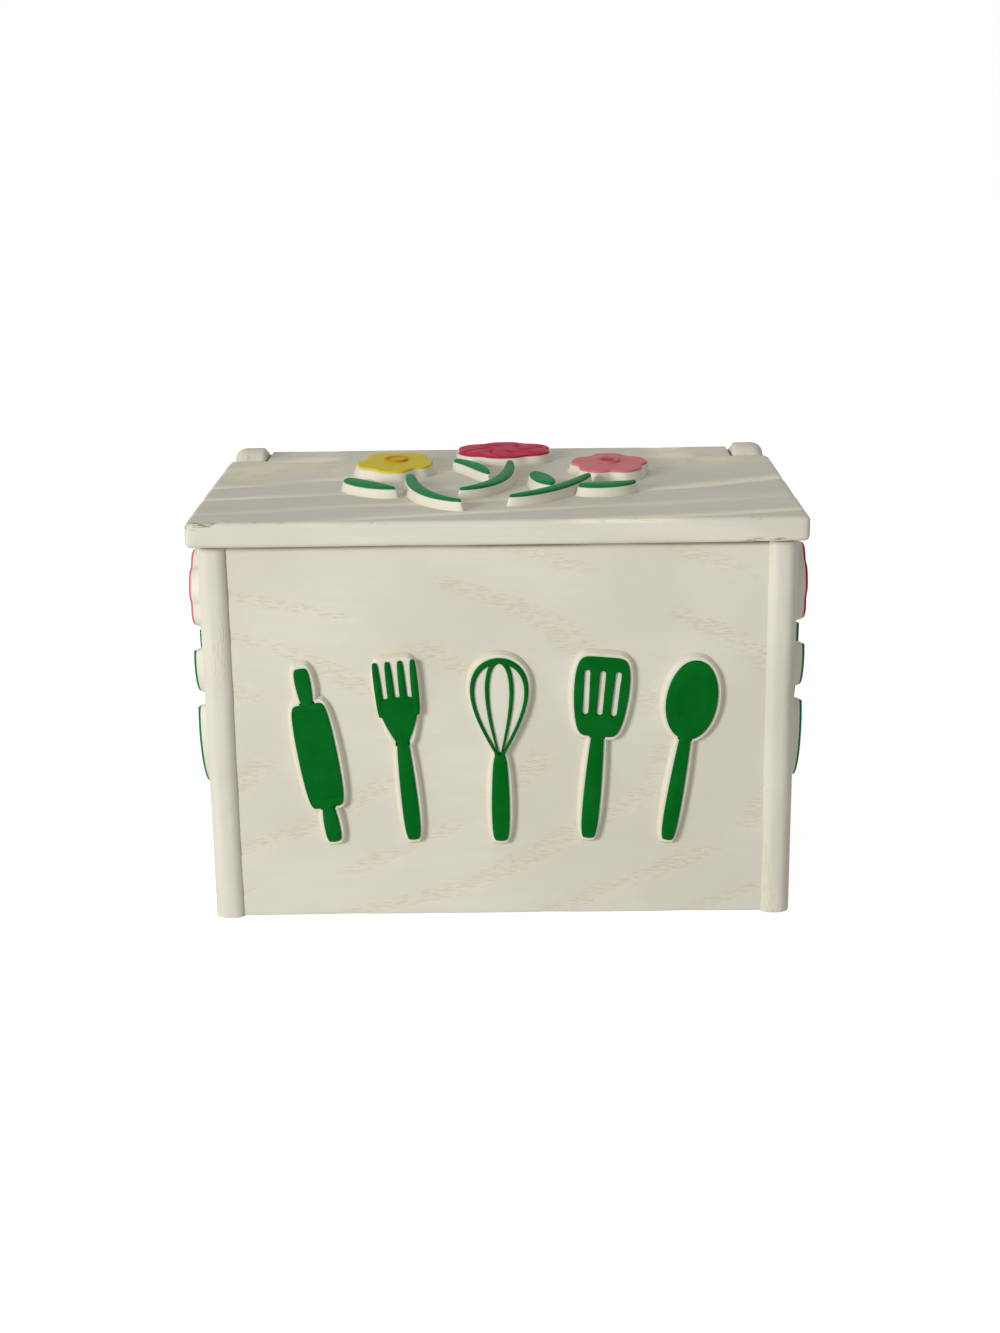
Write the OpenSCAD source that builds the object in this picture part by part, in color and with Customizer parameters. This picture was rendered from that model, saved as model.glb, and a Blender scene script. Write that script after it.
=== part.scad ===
// Box for index cards: boards let into each other, a lid that turns on two pins,
// and raised painted ornaments on the lid, the front and both sides.
// Millimetres. X runs to the right, Y to the back, Z up.
// The origin is the middle of the footprint, on the surface that the box stands on.

/* [Body] */
// Width over the side boards
body_w = 150; // [142:1:180]
// Height of the side boards without their knuckles
body_h = 99; // [94:1:130]
// Depth of the side boards
body_d = 99; // [96:1:130]
// Thickness of a side board
side_t = 8.2; // [7:0.1:9.5]
// Thickness of the front and back panels
panel_t = 5.5; // [4.5:0.1:7]
// Step from the edges of the side boards to the face of a panel
panel_setback = 1.6; // [0.6:0.1:3]
// Depth of the grooves in the side boards
side_groove = 3; // [1.5:0.1:4.5]
// Thickness of the bottom panel
bottom_t = 4; // [3:0.1:6]
// Height of the bottom panel above the surface
bottom_raise = 3; // [1:0.5:8]
// Depth of the grooves in the front and back panels
panel_groove = 2; // [1:0.1:3]
// Radius of the upright front edges of the side boards
post_r = 3; // [1:0.1:3.4]

/* [Lid] */
// Thickness of the lid board
lid_t = 6.5; // [5.6:0.1:8]
// Overhang of the lid over each side board
lid_side_overhang = 2.1; // [1.2:0.1:4]
// Overhang of the lid in front of the side boards
lid_front_overhang = 3; // [1:0.1:6]
// Step from the rear edges of the side boards to the lid's rear edge
lid_rear_inset = 0.5; // [0.3:0.1:1]
// Gap between the closed lid and the side boards
lid_gap = 0.4; // [0.3:0.05:0.8]
// Radius of the lid's corners, seen from above
lid_corner_r = 1.8; // [0.5:0.1:3]
// Radius along the lid's lower rear edge
lid_heel_r = 2.6; // [2.2:0.1:2.8]
// Radius along the lid's other edges
lid_edge_r = 1.3; // [0.3:0.1:1.6]

/* [Hinge] */
// Distance from the hinge axis to the rear edges of the side boards
hinge_inset = 6.5; // [6:0.1:8]
// Drop from the hinge axis to the top of the back panel
back_drop = 6.5; // [6.4:0.1:9]
// Diameter of a hinge pin
pin_d = 3; // [2:0.1:3.4]
// Length of a pin inside the lid
pin_grip = 9; // [5:0.5:20]
// Depth of the pin's outer end below the knuckle's face
pin_recess = 0.6; // [0.2:0.1:2]
// Radial running clearance round the pin in the lid
pin_clear = 0.05; // [0.02:0.01:0.1]
// Gap between a knuckle and the lid, at the end and in front
knuckle_gap = 0.4; // [0.3:0.05:0.8]
// Radius of the knuckle's rounded top
knuckle_r = 5.9; // [5.2:0.1:6.5]
// Distance from the hinge axis forward to the knuckle's centre
knuckle_lead = 4; // [3:0.1:5]
// Slope from the knuckle's top down to the rear edge, in degrees
knuckle_slope = 20; // [15:1:30]
// Amount that a knuckle stands proud of its side board
knuckle_proud = 1; // [0.4:0.1:1.6]
// Radius of a knuckle's outer shoulder, seen from the front
shoulder_r = 3.6; // [0.5:0.1:4]

/* [Ornaments] */
// Thickness of the enamel on each ornament
enamel_t = 0.6; // [0.3:0.1:1]
// Height of the cream base under the lid's ornaments
lid_base_h = 2.2; // [1:0.1:4]
// Height of the cream base under the front's ornaments
front_base_h = 1.7; // [1:0.1:3]
// Height of the cream base under the flowers on the sides
side_flower_h = 2.6; // [1.5:0.1:4]
// Height of the cream base under the leaves and stems on the sides
side_leaf_h = 2.2; // [1:0.1:3]
// Cream edge round the enamel on the lid and the sides
flower_margin = 0.3; // [0.1:0.1:0.8]
// Cream edge round the enamel on the front
front_margin = 0.9; // [0.3:0.1:1.2]
// Extra width of each cream base at its foot
draft = 0.7; // [0.2:0.1:1]
// How much blunter a leaf's near end is than its far end, as a share of its bluntness
leaf_taper = 0.4; // [0:0.05:0.6]

/* [Hidden] */
eps = 0.5;
$fn = 64;

cream = "#D9D3C2";
green = "#1F7A3F";
dark_green = "#0B6A22";
yellow = "#CDB21C";
orange = "#B98A1C";
red = "#A8264E";
pink = "#C2667A";
deep_pink = "#A94F63";
steel = "#9A9A98";

// Planes shared by the boards
side_out = body_w / 2;
side_in = side_out - side_t;
front_y = (lid_front_overhang - body_d) / 2;
rear_y = front_y + body_d;
front_face_y = front_y + panel_setback;
back_face_y = rear_y - panel_setback;
bay_front_y = front_face_y + panel_t;
bay_back_y = back_face_y - panel_t;

// Lid and hinge
lid_z0 = body_h + lid_gap;
lid_z1 = lid_z0 + lid_t;
lid_half_w = side_out + lid_side_overhang;
lid_front_y = front_y - lid_front_overhang;
lid_rear_y = rear_y - lid_rear_inset;
lid_end_x = side_in - knuckle_gap;
hinge_y = rear_y - hinge_inset;
hinge_z = lid_z0 + lid_t / 2;
knuckle_y = hinge_y - knuckle_lead;
knuckle_front_y = knuckle_y - knuckle_r;
knuckle_reach = knuckle_lead + knuckle_r;
notch_y = hinge_y - knuckle_reach - knuckle_gap;
back_top_z = hinge_z - back_drop;
pin_outer_x = side_out + knuckle_proud - pin_recess;
pin_inner_x = lid_end_x - pin_grip;

// Posy on the lid: x from the middle, y from the front edges of the side boards
lid_yellow = [[-28.4, 63.5], [10.6, 15.2]];
lid_red = [[1.5, 81.0], [13.6, 12.1]];
lid_pink = [[30.5, 58.7], [10.6, 14.1]];
lid_yellow_eye = [[-28.4, 65.5], [3.4, 4.6]];
lid_pink_eye = [[30.2, 60.2], [3.3, 4.2]];

// Each leaf or stem: name, start, pull, end, half width at start and end, bluntness of the ends
lid_greens = [
    ["lid_yellow_leaf", [-39.6, 39.6], [-35, 31.5], [-26.4, 26.4], 3.1, 2.6, 1],
    ["lid_yellow_stem", [-23.4, 44], [-21.5, 17], [-9, 9.2], 1.8, 1.5, 0.6],
    ["lid_red_leaf", [-11.8, 66], [-5.8, 60], [-2.6, 46.2], 1.9, 1.9, 0.8],
    ["lid_red_stem", [3.2, 63], [4, 31], [-9.7, 24.4], 1.5, 2.3, 0.7],
    ["lid_bud", [9.9, 46], [12, 38], [13.9, 29.6], 2.7, 2.7, 1],
    ["lid_pink_stem", [24.2, 42.4], [16.5, 21.6], [3.2, 14.4], 1.6, 2.2, 0.7],
    ["lid_pink_leaf", [21.2, 28], [28.5, 26.4], [36.2, 32], 3, 2.6, 1],
];

// Posy on a side: distance from the board's front edge, and height above its top edge
side_first = [[17, -14], [10.2, 9.9]];
side_middle = [[49.5, -17.5], [10.2, 9.9]];
side_last = [[81.5, -16], [10.2, 9.9]];
side_first_eye = [[17, -13.6], [3.2, 3]];
side_middle_eye = [[49.5, -17.1], [3.2, 3]];
side_last_eye = [[81.5, -15.6], [3.2, 3]];
side_greens = [
    ["first_stem", [19, -25.7], [21, -55], [44.5, -66.5], 1.4, 1.7, 0.6],
    ["middle_stem", [49.5, -29], [51, -49], [49, -67.5], 1.5, 1.5, 0.6],
    ["last_stem", [79.6, -27.7], [77.5, -55], [53.5, -66.5], 1.4, 1.7, 0.6],
    ["first_high_leaf", [8.6, -28.5], [8.6, -36.5], [16.4, -41], 2.8, 2.4, 1],
    ["first_low_leaf", [10.4, -44], [10, -57], [19.5, -67.5], 3.2, 2.4, 1],
    ["last_high_leaf", [90.4, -28.5], [90.4, -36.5], [82.6, -41], 2.8, 2.4, 1],
    ["last_low_leaf", [88.6, -44], [89, -57], [79.5, -67.5], 3.2, 2.4, 1],
];

// Row of kitchen tools on the front: name, centre x, centre height, tilt in degrees
front_tools = [
    ["front_rolling_pin", -46.5, 44.5, 9],
    ["front_fork", -24.5, 45.5, 5],
    ["front_whisk", 0, 45.5, 0],
    ["front_turner", 24.5, 45.5, -5],
    ["front_spoon", 46.5, 44.5, -9],
];

// Strokes of each tool round its own middle: from, to, half width at each end, bluntness of the ends
rolling_pin_strokes = [
    [[0, -14], [0, 14], 5, 5, 0.2],
    [[0, -23.5], [0, -13], 2.2, 1.7, 0.35],
    [[0, 13], [0, 23.5], 1.7, 2.2, 0.35],
];
fork_handle = [[0, -24], [0, 6], 2.4, 1.6, 0.35];
fork_head = [[0, 2], [0, 14.5], 2, 6.2, 0.45];
fork_tines = [
    [[-4.5, 9.5], [-4.8, 24], 1, 0.9, 0.35],
    [[-1.5, 9.5], [-1.6, 24], 1, 0.9, 0.35],
    [[1.5, 9.5], [1.6, 24], 1, 0.9, 0.35],
    [[4.5, 9.5], [4.8, 24], 1, 0.9, 0.35],
];
fork_base_head = [[0, 2], [0, 24], 3, 6, 0.3];
whisk_handle = [[0, -24.5], [0, -1], 2.5, 2, 0.35];
turner_strokes = [
    [[0, -24], [0, 8], 2.5, 1.7, 0.35],
    [[0, 3.5], [0, 24.5], 6.2, 7.6, 0.3],
];
turner_slots = [
    [[-3.6, 9], [-3.96, 21], 0.9, 0.9, 0.4],
    [[0, 9], [0, 21], 0.9, 0.9, 0.4],
    [[3.6, 9], [3.96, 21], 0.9, 0.9, 0.4],
];
spoon_strokes = [
    [[0, -24], [0, 9], 2.3, 1.5, 0.35],
    [[0, 3.5], [0, 24.5], 6.6, 6.4, 0.95],
];

// Wire loops of the whisk: foot, half widths, height and thickness of the wire
whisk_foot = [0, -3.5];
whisk_outer_w = 10.2;
whisk_inner_w = 5;
whisk_h = 28;
whisk_wire = 1.5;

side_names = ["left", "right"];

// Outlines

// Petalled outline round an oval: lobes, depth of the notches, turn, and extra width all round
function rosette(flower, lobes, notch, turn, grow, n = 60) =
    [for (i = [0 : n - 1])
        let (a = 360 * i / n, f = 1 - notch * pow(abs(cos(lobes * (a - turn) / 2)), 5))
        flower[0] + [(flower[1][0] * f + grow) * cos(a), (flower[1][1] * f + grow) * sin(a)]];

function unit(v) = v / norm(v);
function along(p, t) = pow(1 - t, 2) * p[0] + 2 * t * (1 - t) * p[1] + t * t * p[2];
function heading(p, t) = unit((1 - t) * (p[1] - p[0]) + t * (p[2] - p[1]));

// One point of a leaf's edge: a is 0 at its start and 180 at its end, hand is 1 or -1
function leaf_edge(leaf, a, hand, grow) =
    let (
        path = [leaf[1], leaf[2], leaf[3]],
        t = (1 - cos(a)) / 2,
        d = heading(path, t),
        taper = is_undef(leaf[7]) ? leaf_taper : leaf[7],
        blunt = leaf[6] * (1 + taper * (2 * t - 1)),
        half = (leaf[4] + (leaf[5] - leaf[4]) * t) * pow(sin(a), blunt) + grow * sin(a)
    )
    along(path, t) + hand * half * [-d.y, d.x] - grow * cos(a) * d;

// Closed outline of a leaf, stem or stroke along a curve
function leaf_outline(leaf, grow, n = 12) = concat(
    [for (i = [0 : n]) leaf_edge(leaf, 180 * i / n, -1, grow)],
    [for (i = [n - 1 : -1 : 1]) leaf_edge(leaf, 180 * i / n, 1, grow)]
);

// Teardrop standing on its point
function teardrop(foot, w, h, grow, n = 36) =
    [for (i = [0 : n - 1])
        let (a = 360 * i / n)
        foot + [(w + grow) * sin(a) * pow(abs(sin(a / 2)), 1.3), h / 2 - (h / 2 + grow) * cos(a)]];

// A straight stroke, as the leaf that has its form and is as blunt at both ends
function as_leaf(stroke) =
    ["", stroke[0], (stroke[0] + stroke[1]) / 2, stroke[1], stroke[2], stroke[3], stroke[4], 0];

// Base with sloping walls between two outlines of as many points. Its top and foot are fans
// round the outline's middle, or strips across a leaf whose second half runs back along its first
module drafted(low, high, h, strip = false) {
    n = len(low);
    middle = [for (k = [0, 1]) let (p = k == 0 ? low : high) (p[0] + p[floor(n / 2)]) / 2];
    polyhedron(
        points = concat(
            [for (p = low) [p.x, p.y, 0]],
            [for (p = high) [p.x, p.y, h]],
            strip ? [] : [[middle[0].x, middle[0].y, 0], [middle[1].x, middle[1].y, h]]
        ),
        faces = concat(
            [for (i = [0 : n - 1]) [i, n + i, (i + 1) % n]],
            [for (i = [0 : n - 1]) [(i + 1) % n, n + i, n + (i + 1) % n]],
            strip ? [for (f = strip_faces(n)) f] : [for (i = [0 : n - 1]) [i, (i + 1) % n, 2 * n]],
            strip
                ? [for (f = strip_faces(n)) [n + f[2], n + f[1], n + f[0]]]
                : [for (i = [0 : n - 1]) [n + (i + 1) % n, n + i, 2 * n + 1]]
        )
    );
}

// Triangles across a closed outline of n points, from each point to its opposite
function strip_faces(n) = concat(
    [[0, 1, n - 1], [n / 2 - 1, n / 2, n / 2 + 1]],
    [for (i = [1 : n / 2 - 2]) [i, i + 1, n - i]],
    [for (i = [1 : n / 2 - 2]) [i + 1, n - i - 1, n - i]]
);

module leaf_base(leaf, margin, h) {
    drafted(leaf_outline(leaf, margin + draft), leaf_outline(leaf, margin), h, strip = true);
}

module flower_base(flower, lobes, notch, turn, h) {
    drafted(
        rosette(flower, lobes, notch * 0.8, turn, flower_margin + draft),
        rosette(flower, lobes, notch * 0.9, turn, flower_margin),
        h
    );
}

module enamel() {
    linear_extrude(enamel_t) children();
}

// Places

module on_lid() {
    translate([0, front_y, lid_z1]) children();
}

module on_front() {
    translate([0, front_face_y, 0]) rotate([90, 0, 0]) children();
}

// On the outer face of a side board, x from its front edge and y up from its top edge
module on_side(side) {
    mirror([side == "left" ? 1 : 0, 0, 0])
        translate([side_out, front_y, body_h]) rotate([90, 0, 90]) children();
}

// Extrudes an upright profile drawn in Y and Z from one X to another
module across(x0, x1) {
    translate([x0, 0, 0]) rotate([90, 0, 90]) linear_extrude(x1 - x0) children();
}

// Rectangle with a radius at each corner: front low, rear low, rear high, front high
module rounded_rect(y0, y1, z0, z1, radii) {
    corners = [[y0, z0, 1, 1], [y1, z0, -1, 1], [y1, z1, -1, -1], [y0, z1, 1, -1]];
    difference() {
        translate([y0, z0]) square([y1 - y0, z1 - z0]);
        for (i = [0 : 3]) {
            c = corners[i];
            r = radii[i];
            translate([c[0], c[1]]) scale_sign(c[2], c[3]) difference() {
                translate([-eps, -eps]) square(r + eps);
                translate([r, r]) circle(r);
            }
        }
    }
}

// Flips a drawing for the corner that it belongs to
module scale_sign(sx, sy) {
    mirror([sx < 0 ? 1 : 0, 0]) mirror([0, sy < 0 ? 1 : 0]) children();
}

// Boards

module knuckle_profile() {
    lean = knuckle_slope;
    crest = [knuckle_y + knuckle_r * sin(lean), hinge_z + knuckle_r * cos(lean)];
    translate([knuckle_y, hinge_z]) circle(knuckle_r);
    translate([knuckle_front_y, body_h - eps])
        square([rear_y - knuckle_front_y, hinge_z - body_h + eps]);
    polygon([
        [knuckle_y, hinge_z],
        [rear_y, hinge_z],
        [rear_y, crest.y - (rear_y - crest.x) * tan(lean)],
        crest,
    ]);
}

// Seen from the side, the disc-shaped pad that thickens the knuckle
module knuckle_pad_profile() {
    intersection() {
        union() {
            knuckle_profile();
            translate([front_y, 0]) square([body_d, body_h]);
        }
        translate([hinge_y, hinge_z]) circle(knuckle_reach);
    }
}

// Seen from the front, the block with rounded shoulders that a knuckle is cut from
module knuckle_shoulders() {
    translate([0, rear_y + eps, 0]) rotate([90, 0, 0]) linear_extrude(body_d)
        rounded_rect(side_in, side_out + knuckle_proud, 0, hinge_z + knuckle_r,
                     [0.01, 0.01, shoulder_r, lid_edge_r]);
}

module side_board() {
    color(cream) difference() {
        union() {
            // Upright board with rounded front edges
            linear_extrude(body_h)
                rounded_rect(side_in, side_out, front_y, rear_y, [post_r, post_r, 0.01, 0.01]);
            intersection() {
                union() {
                    across(side_in, side_out) knuckle_profile();
                    across(side_out - eps, side_out + knuckle_proud) knuckle_pad_profile();
                }
                knuckle_shoulders();
            }
        }
        // Groove for the front panel
        translate([side_in - eps, front_face_y, -eps])
            cube([side_groove + eps, panel_t, body_h + 2 * eps]);
        // Groove for the back panel
        translate([side_in - eps, bay_back_y, -eps])
            cube([side_groove + eps, panel_t, back_top_z + eps]);
        // Groove for the bottom panel
        translate([side_in - eps, front_face_y + eps, bottom_raise])
            cube([side_groove + eps, back_face_y - front_face_y - 2 * eps, bottom_t]);
        // Seat of the hinge pin
        translate([side_in - eps, hinge_y, hinge_z]) rotate([0, 90, 0])
            cylinder(d = pin_d, h = side_t + knuckle_proud + 2 * eps);
    }
}

module front_panel() {
    color(cream) difference() {
        translate([-side_in - side_groove, front_face_y, 0])
            cube([2 * (side_in + side_groove), panel_t, body_h]);
        bottom_slot();
    }
}

module back_panel() {
    color(cream) difference() {
        translate([-side_in - side_groove, bay_back_y, 0])
            cube([2 * (side_in + side_groove), panel_t, back_top_z]);
        bottom_slot();
    }
}

// Space that the bottom panel fills
module bottom_slot() {
    translate([-side_out, bay_front_y - panel_groove, bottom_raise])
        cube([body_w, bay_back_y - bay_front_y + 2 * panel_groove, bottom_t]);
}

module bottom_panel() {
    color(cream) translate([-side_in - side_groove, bay_front_y - panel_groove, bottom_raise])
        cube([2 * (side_in + side_groove), bay_back_y - bay_front_y + 2 * panel_groove, bottom_t]);
}

module lid_board() {
    color(cream) difference() {
        intersection() {
            across(-lid_half_w - eps, lid_half_w + eps)
                rounded_rect(lid_front_y, lid_rear_y, lid_z0, lid_z1,
                             [lid_edge_r, lid_heel_r, lid_edge_r, lid_edge_r]);
            translate([0, lid_rear_y + eps, 0]) rotate([90, 0, 0])
                linear_extrude(lid_rear_y - lid_front_y + 2 * eps)
                    rounded_rect(-lid_half_w, lid_half_w, lid_z0, lid_z1,
                                 [lid_edge_r, lid_edge_r, lid_edge_r, lid_edge_r]);
            // Seen from above, wide in front of the knuckles and narrow between them
            translate([0, 0, lid_z0 - eps]) linear_extrude(lid_t + 2 * eps) union() {
                rounded_rect(-lid_half_w, lid_half_w, lid_front_y, notch_y,
                             [lid_corner_r, lid_corner_r, lid_corner_r, lid_corner_r]);
                translate([-lid_end_x, notch_y - lid_corner_r - eps])
                    square([2 * lid_end_x, lid_rear_y - notch_y + lid_corner_r + 2 * eps]);
            }
        }
        for (x = [pin_inner_x - eps, -lid_end_x - eps])
            translate([x, hinge_y, hinge_z]) rotate([0, 90, 0])
                cylinder(r = pin_d / 2 + pin_clear, h = pin_grip + 2 * eps);
    }
}

module hinge_pin() {
    color(steel) translate([pin_inner_x, hinge_y, hinge_z]) rotate([0, 90, 0])
        cylinder(d = pin_d, h = pin_outer_x - pin_inner_x);
}

// Ornaments of the lid

module lid_relief() {
    color(cream) on_lid() union() {
        flower_base(lid_yellow, 5, 0.16, 90, lid_base_h);
        flower_base(lid_red, 6, 0.1, 60, lid_base_h);
        flower_base(lid_pink, 5, 0.16, 54, lid_base_h);
        for (leaf = lid_greens) leaf_base(leaf, flower_margin, lid_base_h);
    }
}

module lid_petals(flower, lobes, notch, turn, tint) {
    color(tint) on_lid() translate([0, 0, lid_base_h]) enamel()
        polygon(rosette(flower, lobes, notch, turn, 0));
}

module lid_eye(eye, tint) {
    color(tint) on_lid() translate([0, 0, lid_base_h + enamel_t]) enamel()
        polygon(rosette(eye, 1, 0, 0, 0, 24));
}

module lid_green(leaf) {
    color(green) on_lid() translate([0, 0, lid_base_h]) enamel() polygon(leaf_outline(leaf, 0));
}

// Ornaments of a side

module side_relief(side) {
    color(cream) on_side(side) union() {
        for (flower = [side_first, side_middle, side_last])
            flower_base(flower, 5, 0.16, 54, side_flower_h);
        for (leaf = side_greens) leaf_base(leaf, flower_margin, side_leaf_h);
    }
}

module side_petals(side, flower, tint) {
    color(tint) on_side(side) translate([0, 0, side_flower_h]) enamel()
        polygon(rosette(flower, 5, 0.16, 54, 0));
}

module side_eye(side, eye, tint) {
    color(tint) on_side(side) translate([0, 0, side_flower_h + enamel_t]) enamel()
        polygon(rosette(eye, 1, 0, 0, 0, 24));
}

module side_green(side, leaf) {
    color(green) on_side(side) translate([0, 0, side_leaf_h]) enamel() polygon(leaf_outline(leaf, 0));
}

// Kitchen tools on the front

// Strokes that make up a tool's enamel
function tool_strokes(name) =
    name == "front_rolling_pin" ? rolling_pin_strokes
    : name == "front_fork" ? concat([fork_handle, fork_head], fork_tines)
    : name == "front_whisk" ? [whisk_handle]
    : name == "front_turner" ? turner_strokes
    : spoon_strokes;

// Strokes that make up a tool's cream base, without the small gaps
function base_strokes(name) =
    name == "front_fork" ? [fork_handle, fork_base_head] : tool_strokes(name);

module at_tool(tool) {
    on_front() translate([tool[1], tool[2]]) rotate(tool[3]) children();
}

module front_relief() {
    color(cream) union() for (tool = front_tools) at_tool(tool) {
        for (s = base_strokes(tool[0])) leaf_base(as_leaf(s), front_margin, front_base_h);
        if (tool[0] == "front_whisk")
            drafted(
                teardrop(whisk_foot, whisk_outer_w, whisk_h, front_margin + draft),
                teardrop(whisk_foot, whisk_outer_w, whisk_h, front_margin),
                front_base_h
            );
    }
}

module whisk_loop(w) {
    difference() {
        polygon(teardrop(whisk_foot, w, whisk_h, 0));
        polygon(teardrop(whisk_foot + [0, whisk_wire], w - whisk_wire, whisk_h - 2 * whisk_wire, 0));
    }
}

module front_tool(tool) {
    color(dark_green) at_tool(tool) translate([0, 0, front_base_h]) enamel() difference() {
        union() {
            for (s = tool_strokes(tool[0])) polygon(leaf_outline(as_leaf(s), 0));
            if (tool[0] == "front_whisk") {
                whisk_loop(whisk_outer_w);
                whisk_loop(whisk_inner_w);
            }
        }
        if (tool[0] == "front_turner")
            for (s = turner_slots) polygon(leaf_outline(as_leaf(s), 0));
    }
}

mirror([1, 0, 0]) side_board();  // side_board_left
side_board();  // side_board_right
front_panel();
back_panel();
bottom_panel();
lid_board();
mirror([1, 0, 0]) hinge_pin();  // hinge_pin_left
hinge_pin();  // hinge_pin_right
lid_relief();
lid_petals(lid_yellow, 5, 0.16, 90, yellow);  // lid_yellow_petals
lid_petals(lid_red, 6, 0.1, 60, red);  // lid_red_petals
lid_petals(lid_pink, 5, 0.16, 54, pink);  // lid_pink_petals
lid_eye(lid_yellow_eye, orange);
lid_eye(lid_pink_eye, deep_pink);
front_relief();
for (leaf = lid_greens)
    lid_green(leaf);
for (tool = front_tools)
    front_tool(tool);
for (side = side_names) {
    first_tint = side == "left" ? pink : red;
    last_tint = side == "left" ? red : pink;
    side_relief(side);
    side_petals(side, side_first, first_tint);
    side_petals(side, side_middle, yellow);
    side_petals(side, side_last, last_tint);
    side_eye(side, side_first_eye, deep_pink);
    side_eye(side, side_middle_eye, orange);
    side_eye(side, side_last_eye, deep_pink);
    for (leaf = side_greens)
        side_green(side, leaf);
}
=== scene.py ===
"""Painted wooden box for index cards, with raised enamelled ornaments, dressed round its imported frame.

Lengths are in millimetres until a mesh is made, and in metres in Blender. X runs to the right,
Y to the back and Z up, from the middle of the footprint.
"""

import logging
import math
from collections.abc import Callable, Sequence
from dataclasses import dataclass, field
from enum import Enum

import bpy
import numpy as np
from mathutils import Matrix


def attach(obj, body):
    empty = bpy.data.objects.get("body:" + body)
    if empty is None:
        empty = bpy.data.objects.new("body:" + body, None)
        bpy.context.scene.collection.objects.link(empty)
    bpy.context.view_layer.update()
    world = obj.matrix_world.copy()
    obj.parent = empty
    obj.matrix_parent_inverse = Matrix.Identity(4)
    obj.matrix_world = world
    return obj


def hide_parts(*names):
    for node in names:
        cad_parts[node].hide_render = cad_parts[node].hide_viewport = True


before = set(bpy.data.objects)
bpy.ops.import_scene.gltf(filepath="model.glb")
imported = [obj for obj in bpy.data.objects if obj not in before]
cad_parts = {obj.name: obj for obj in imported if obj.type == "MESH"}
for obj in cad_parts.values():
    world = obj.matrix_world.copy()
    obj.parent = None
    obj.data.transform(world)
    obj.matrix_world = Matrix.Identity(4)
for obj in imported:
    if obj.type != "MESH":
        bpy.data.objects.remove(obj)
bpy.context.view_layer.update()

MM = 0.001
QUARTER = math.pi / 2
log = logging.getLogger("card_box")

Point = tuple[float, float, float]
Spot = tuple[float, float]
Value = float | bpy.types.NodeSocket
Tint = str | bpy.types.NodeSocket


class Axis(Enum):
    """World axis."""

    X = 0
    Y = 1
    Z = 2


class Hand(Enum):
    """Side of the box, with the sign of X there."""

    LEFT = -1
    RIGHT = 1


# Numbers on arrays


def smoothstep(low: float, high: float, value: np.ndarray | float) -> np.ndarray | float:
    """Rises from 0 at low to 1 at high along 3t^2 - 2t^3."""
    t = np.clip((value - low) / (high - low), 0.0, 1.0)
    return t * t * (3 - 2 * t)


def even_turns(count: int) -> np.ndarray:
    """Angles of a full turn in even steps, in radians."""
    return np.arange(count) * (2 * math.pi / count)


def stretched(size: float, length: float, along: Axis) -> Point:
    """Size of a cell or a grain along X, Y and Z: a length along one axis, and a size on the others."""
    return tuple(length if axis is along else size for axis in Axis)


LOW_BITS = np.uint64(0xFFFFFFFF)
COUNT_FACTORS = [np.uint64(factor) for factor in (0x9E3779B1, 0x85EBCA77, 0xC2B2AE3D)]
SEED_FACTOR = 0x27D4EB2F
MIXES = [(np.uint64(15), np.uint64(0x2C1B3C6D)), (np.uint64(12), np.uint64(0x297A2D39))]
CELL_SHIFT = 4096.0


def value_noise(points: np.ndarray, size: float | Point, seed: int) -> np.ndarray:
    """Smooth noise from 0 to 1.

    Each corner of a lattice of cells has its own number, hashed from its three counts. A point's
    value is those of its cell's eight corners, blended by the smoothstep of its place in the cell.

    Args:
        points: places, one row each.
        size: cell size along each axis, in the unit of the points.
        seed: number that tells one noise from another.

    Returns:
        One value for each point.
    """
    place = np.asarray(points) / np.asarray(size, float) + CELL_SHIFT
    cell = np.floor(place).astype(np.uint64)
    part = smoothstep(0.0, 1.0, place - cell)
    total = np.zeros(len(points))
    for corner in np.ndindex(2, 2, 2):
        count = cell + np.array(corner, np.uint64)
        x, y, z = (count[:, k] * factor for k, factor in enumerate(COUNT_FACTORS))
        mixed = (x ^ y ^ z) + np.uint64(seed * SEED_FACTOR) & LOW_BITS
        for shift, factor in MIXES:
            mixed = (mixed ^ mixed >> shift) * factor & LOW_BITS
        mixed = mixed ^ mixed >> np.uint64(15)
        near = np.where(np.array(corner, bool), part, 1 - part).prod(axis=1)
        total += near * (mixed / 2.0**32)
    return total


def round_drop(inset: np.ndarray, radius: float) -> np.ndarray:
    """Drop of a rounded edge at a distance inside it: r - sqrt(r^2 - (r - s)^2), and 0 past r."""
    left = np.clip(radius - inset, 0.0, radius)
    return radius - np.sqrt(radius * radius - left * left)


def quarter_steps(radius: float, count: int) -> tuple[np.ndarray, np.ndarray]:
    """Insets r(1 - cos a) and drops r(1 - sin a) of even turns a round a quarter circle."""
    turn = np.linspace(0.0, QUARTER, count + 1)
    return radius * (1 - np.cos(turn)), radius * (1 - np.sin(turn))


def new_object(name: str, data: bpy.types.ID) -> bpy.types.Object:
    """Makes an object of some data, linked to the scene.

    Args:
        name: name of the object.
        data: its mesh, camera or lamp.

    Returns:
        The object.
    """
    made = bpy.data.objects.new(name, data)
    bpy.context.scene.collection.objects.link(made)
    return made


def pose(right: np.ndarray, up: np.ndarray, back: np.ndarray, place: np.ndarray) -> Matrix:
    """Matrix of a camera or lamp, from its three directions and its place.

    Args:
        right: direction of its own X.
        up: direction of its own Y.
        back: direction of its own Z, which it looks away from.
        place: its place, in metres.

    Returns:
        The matrix.
    """
    matrix = np.eye(4)
    matrix[:3] = np.column_stack([right, up, back, place])
    return Matrix(matrix.tolist())


# Skins


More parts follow.
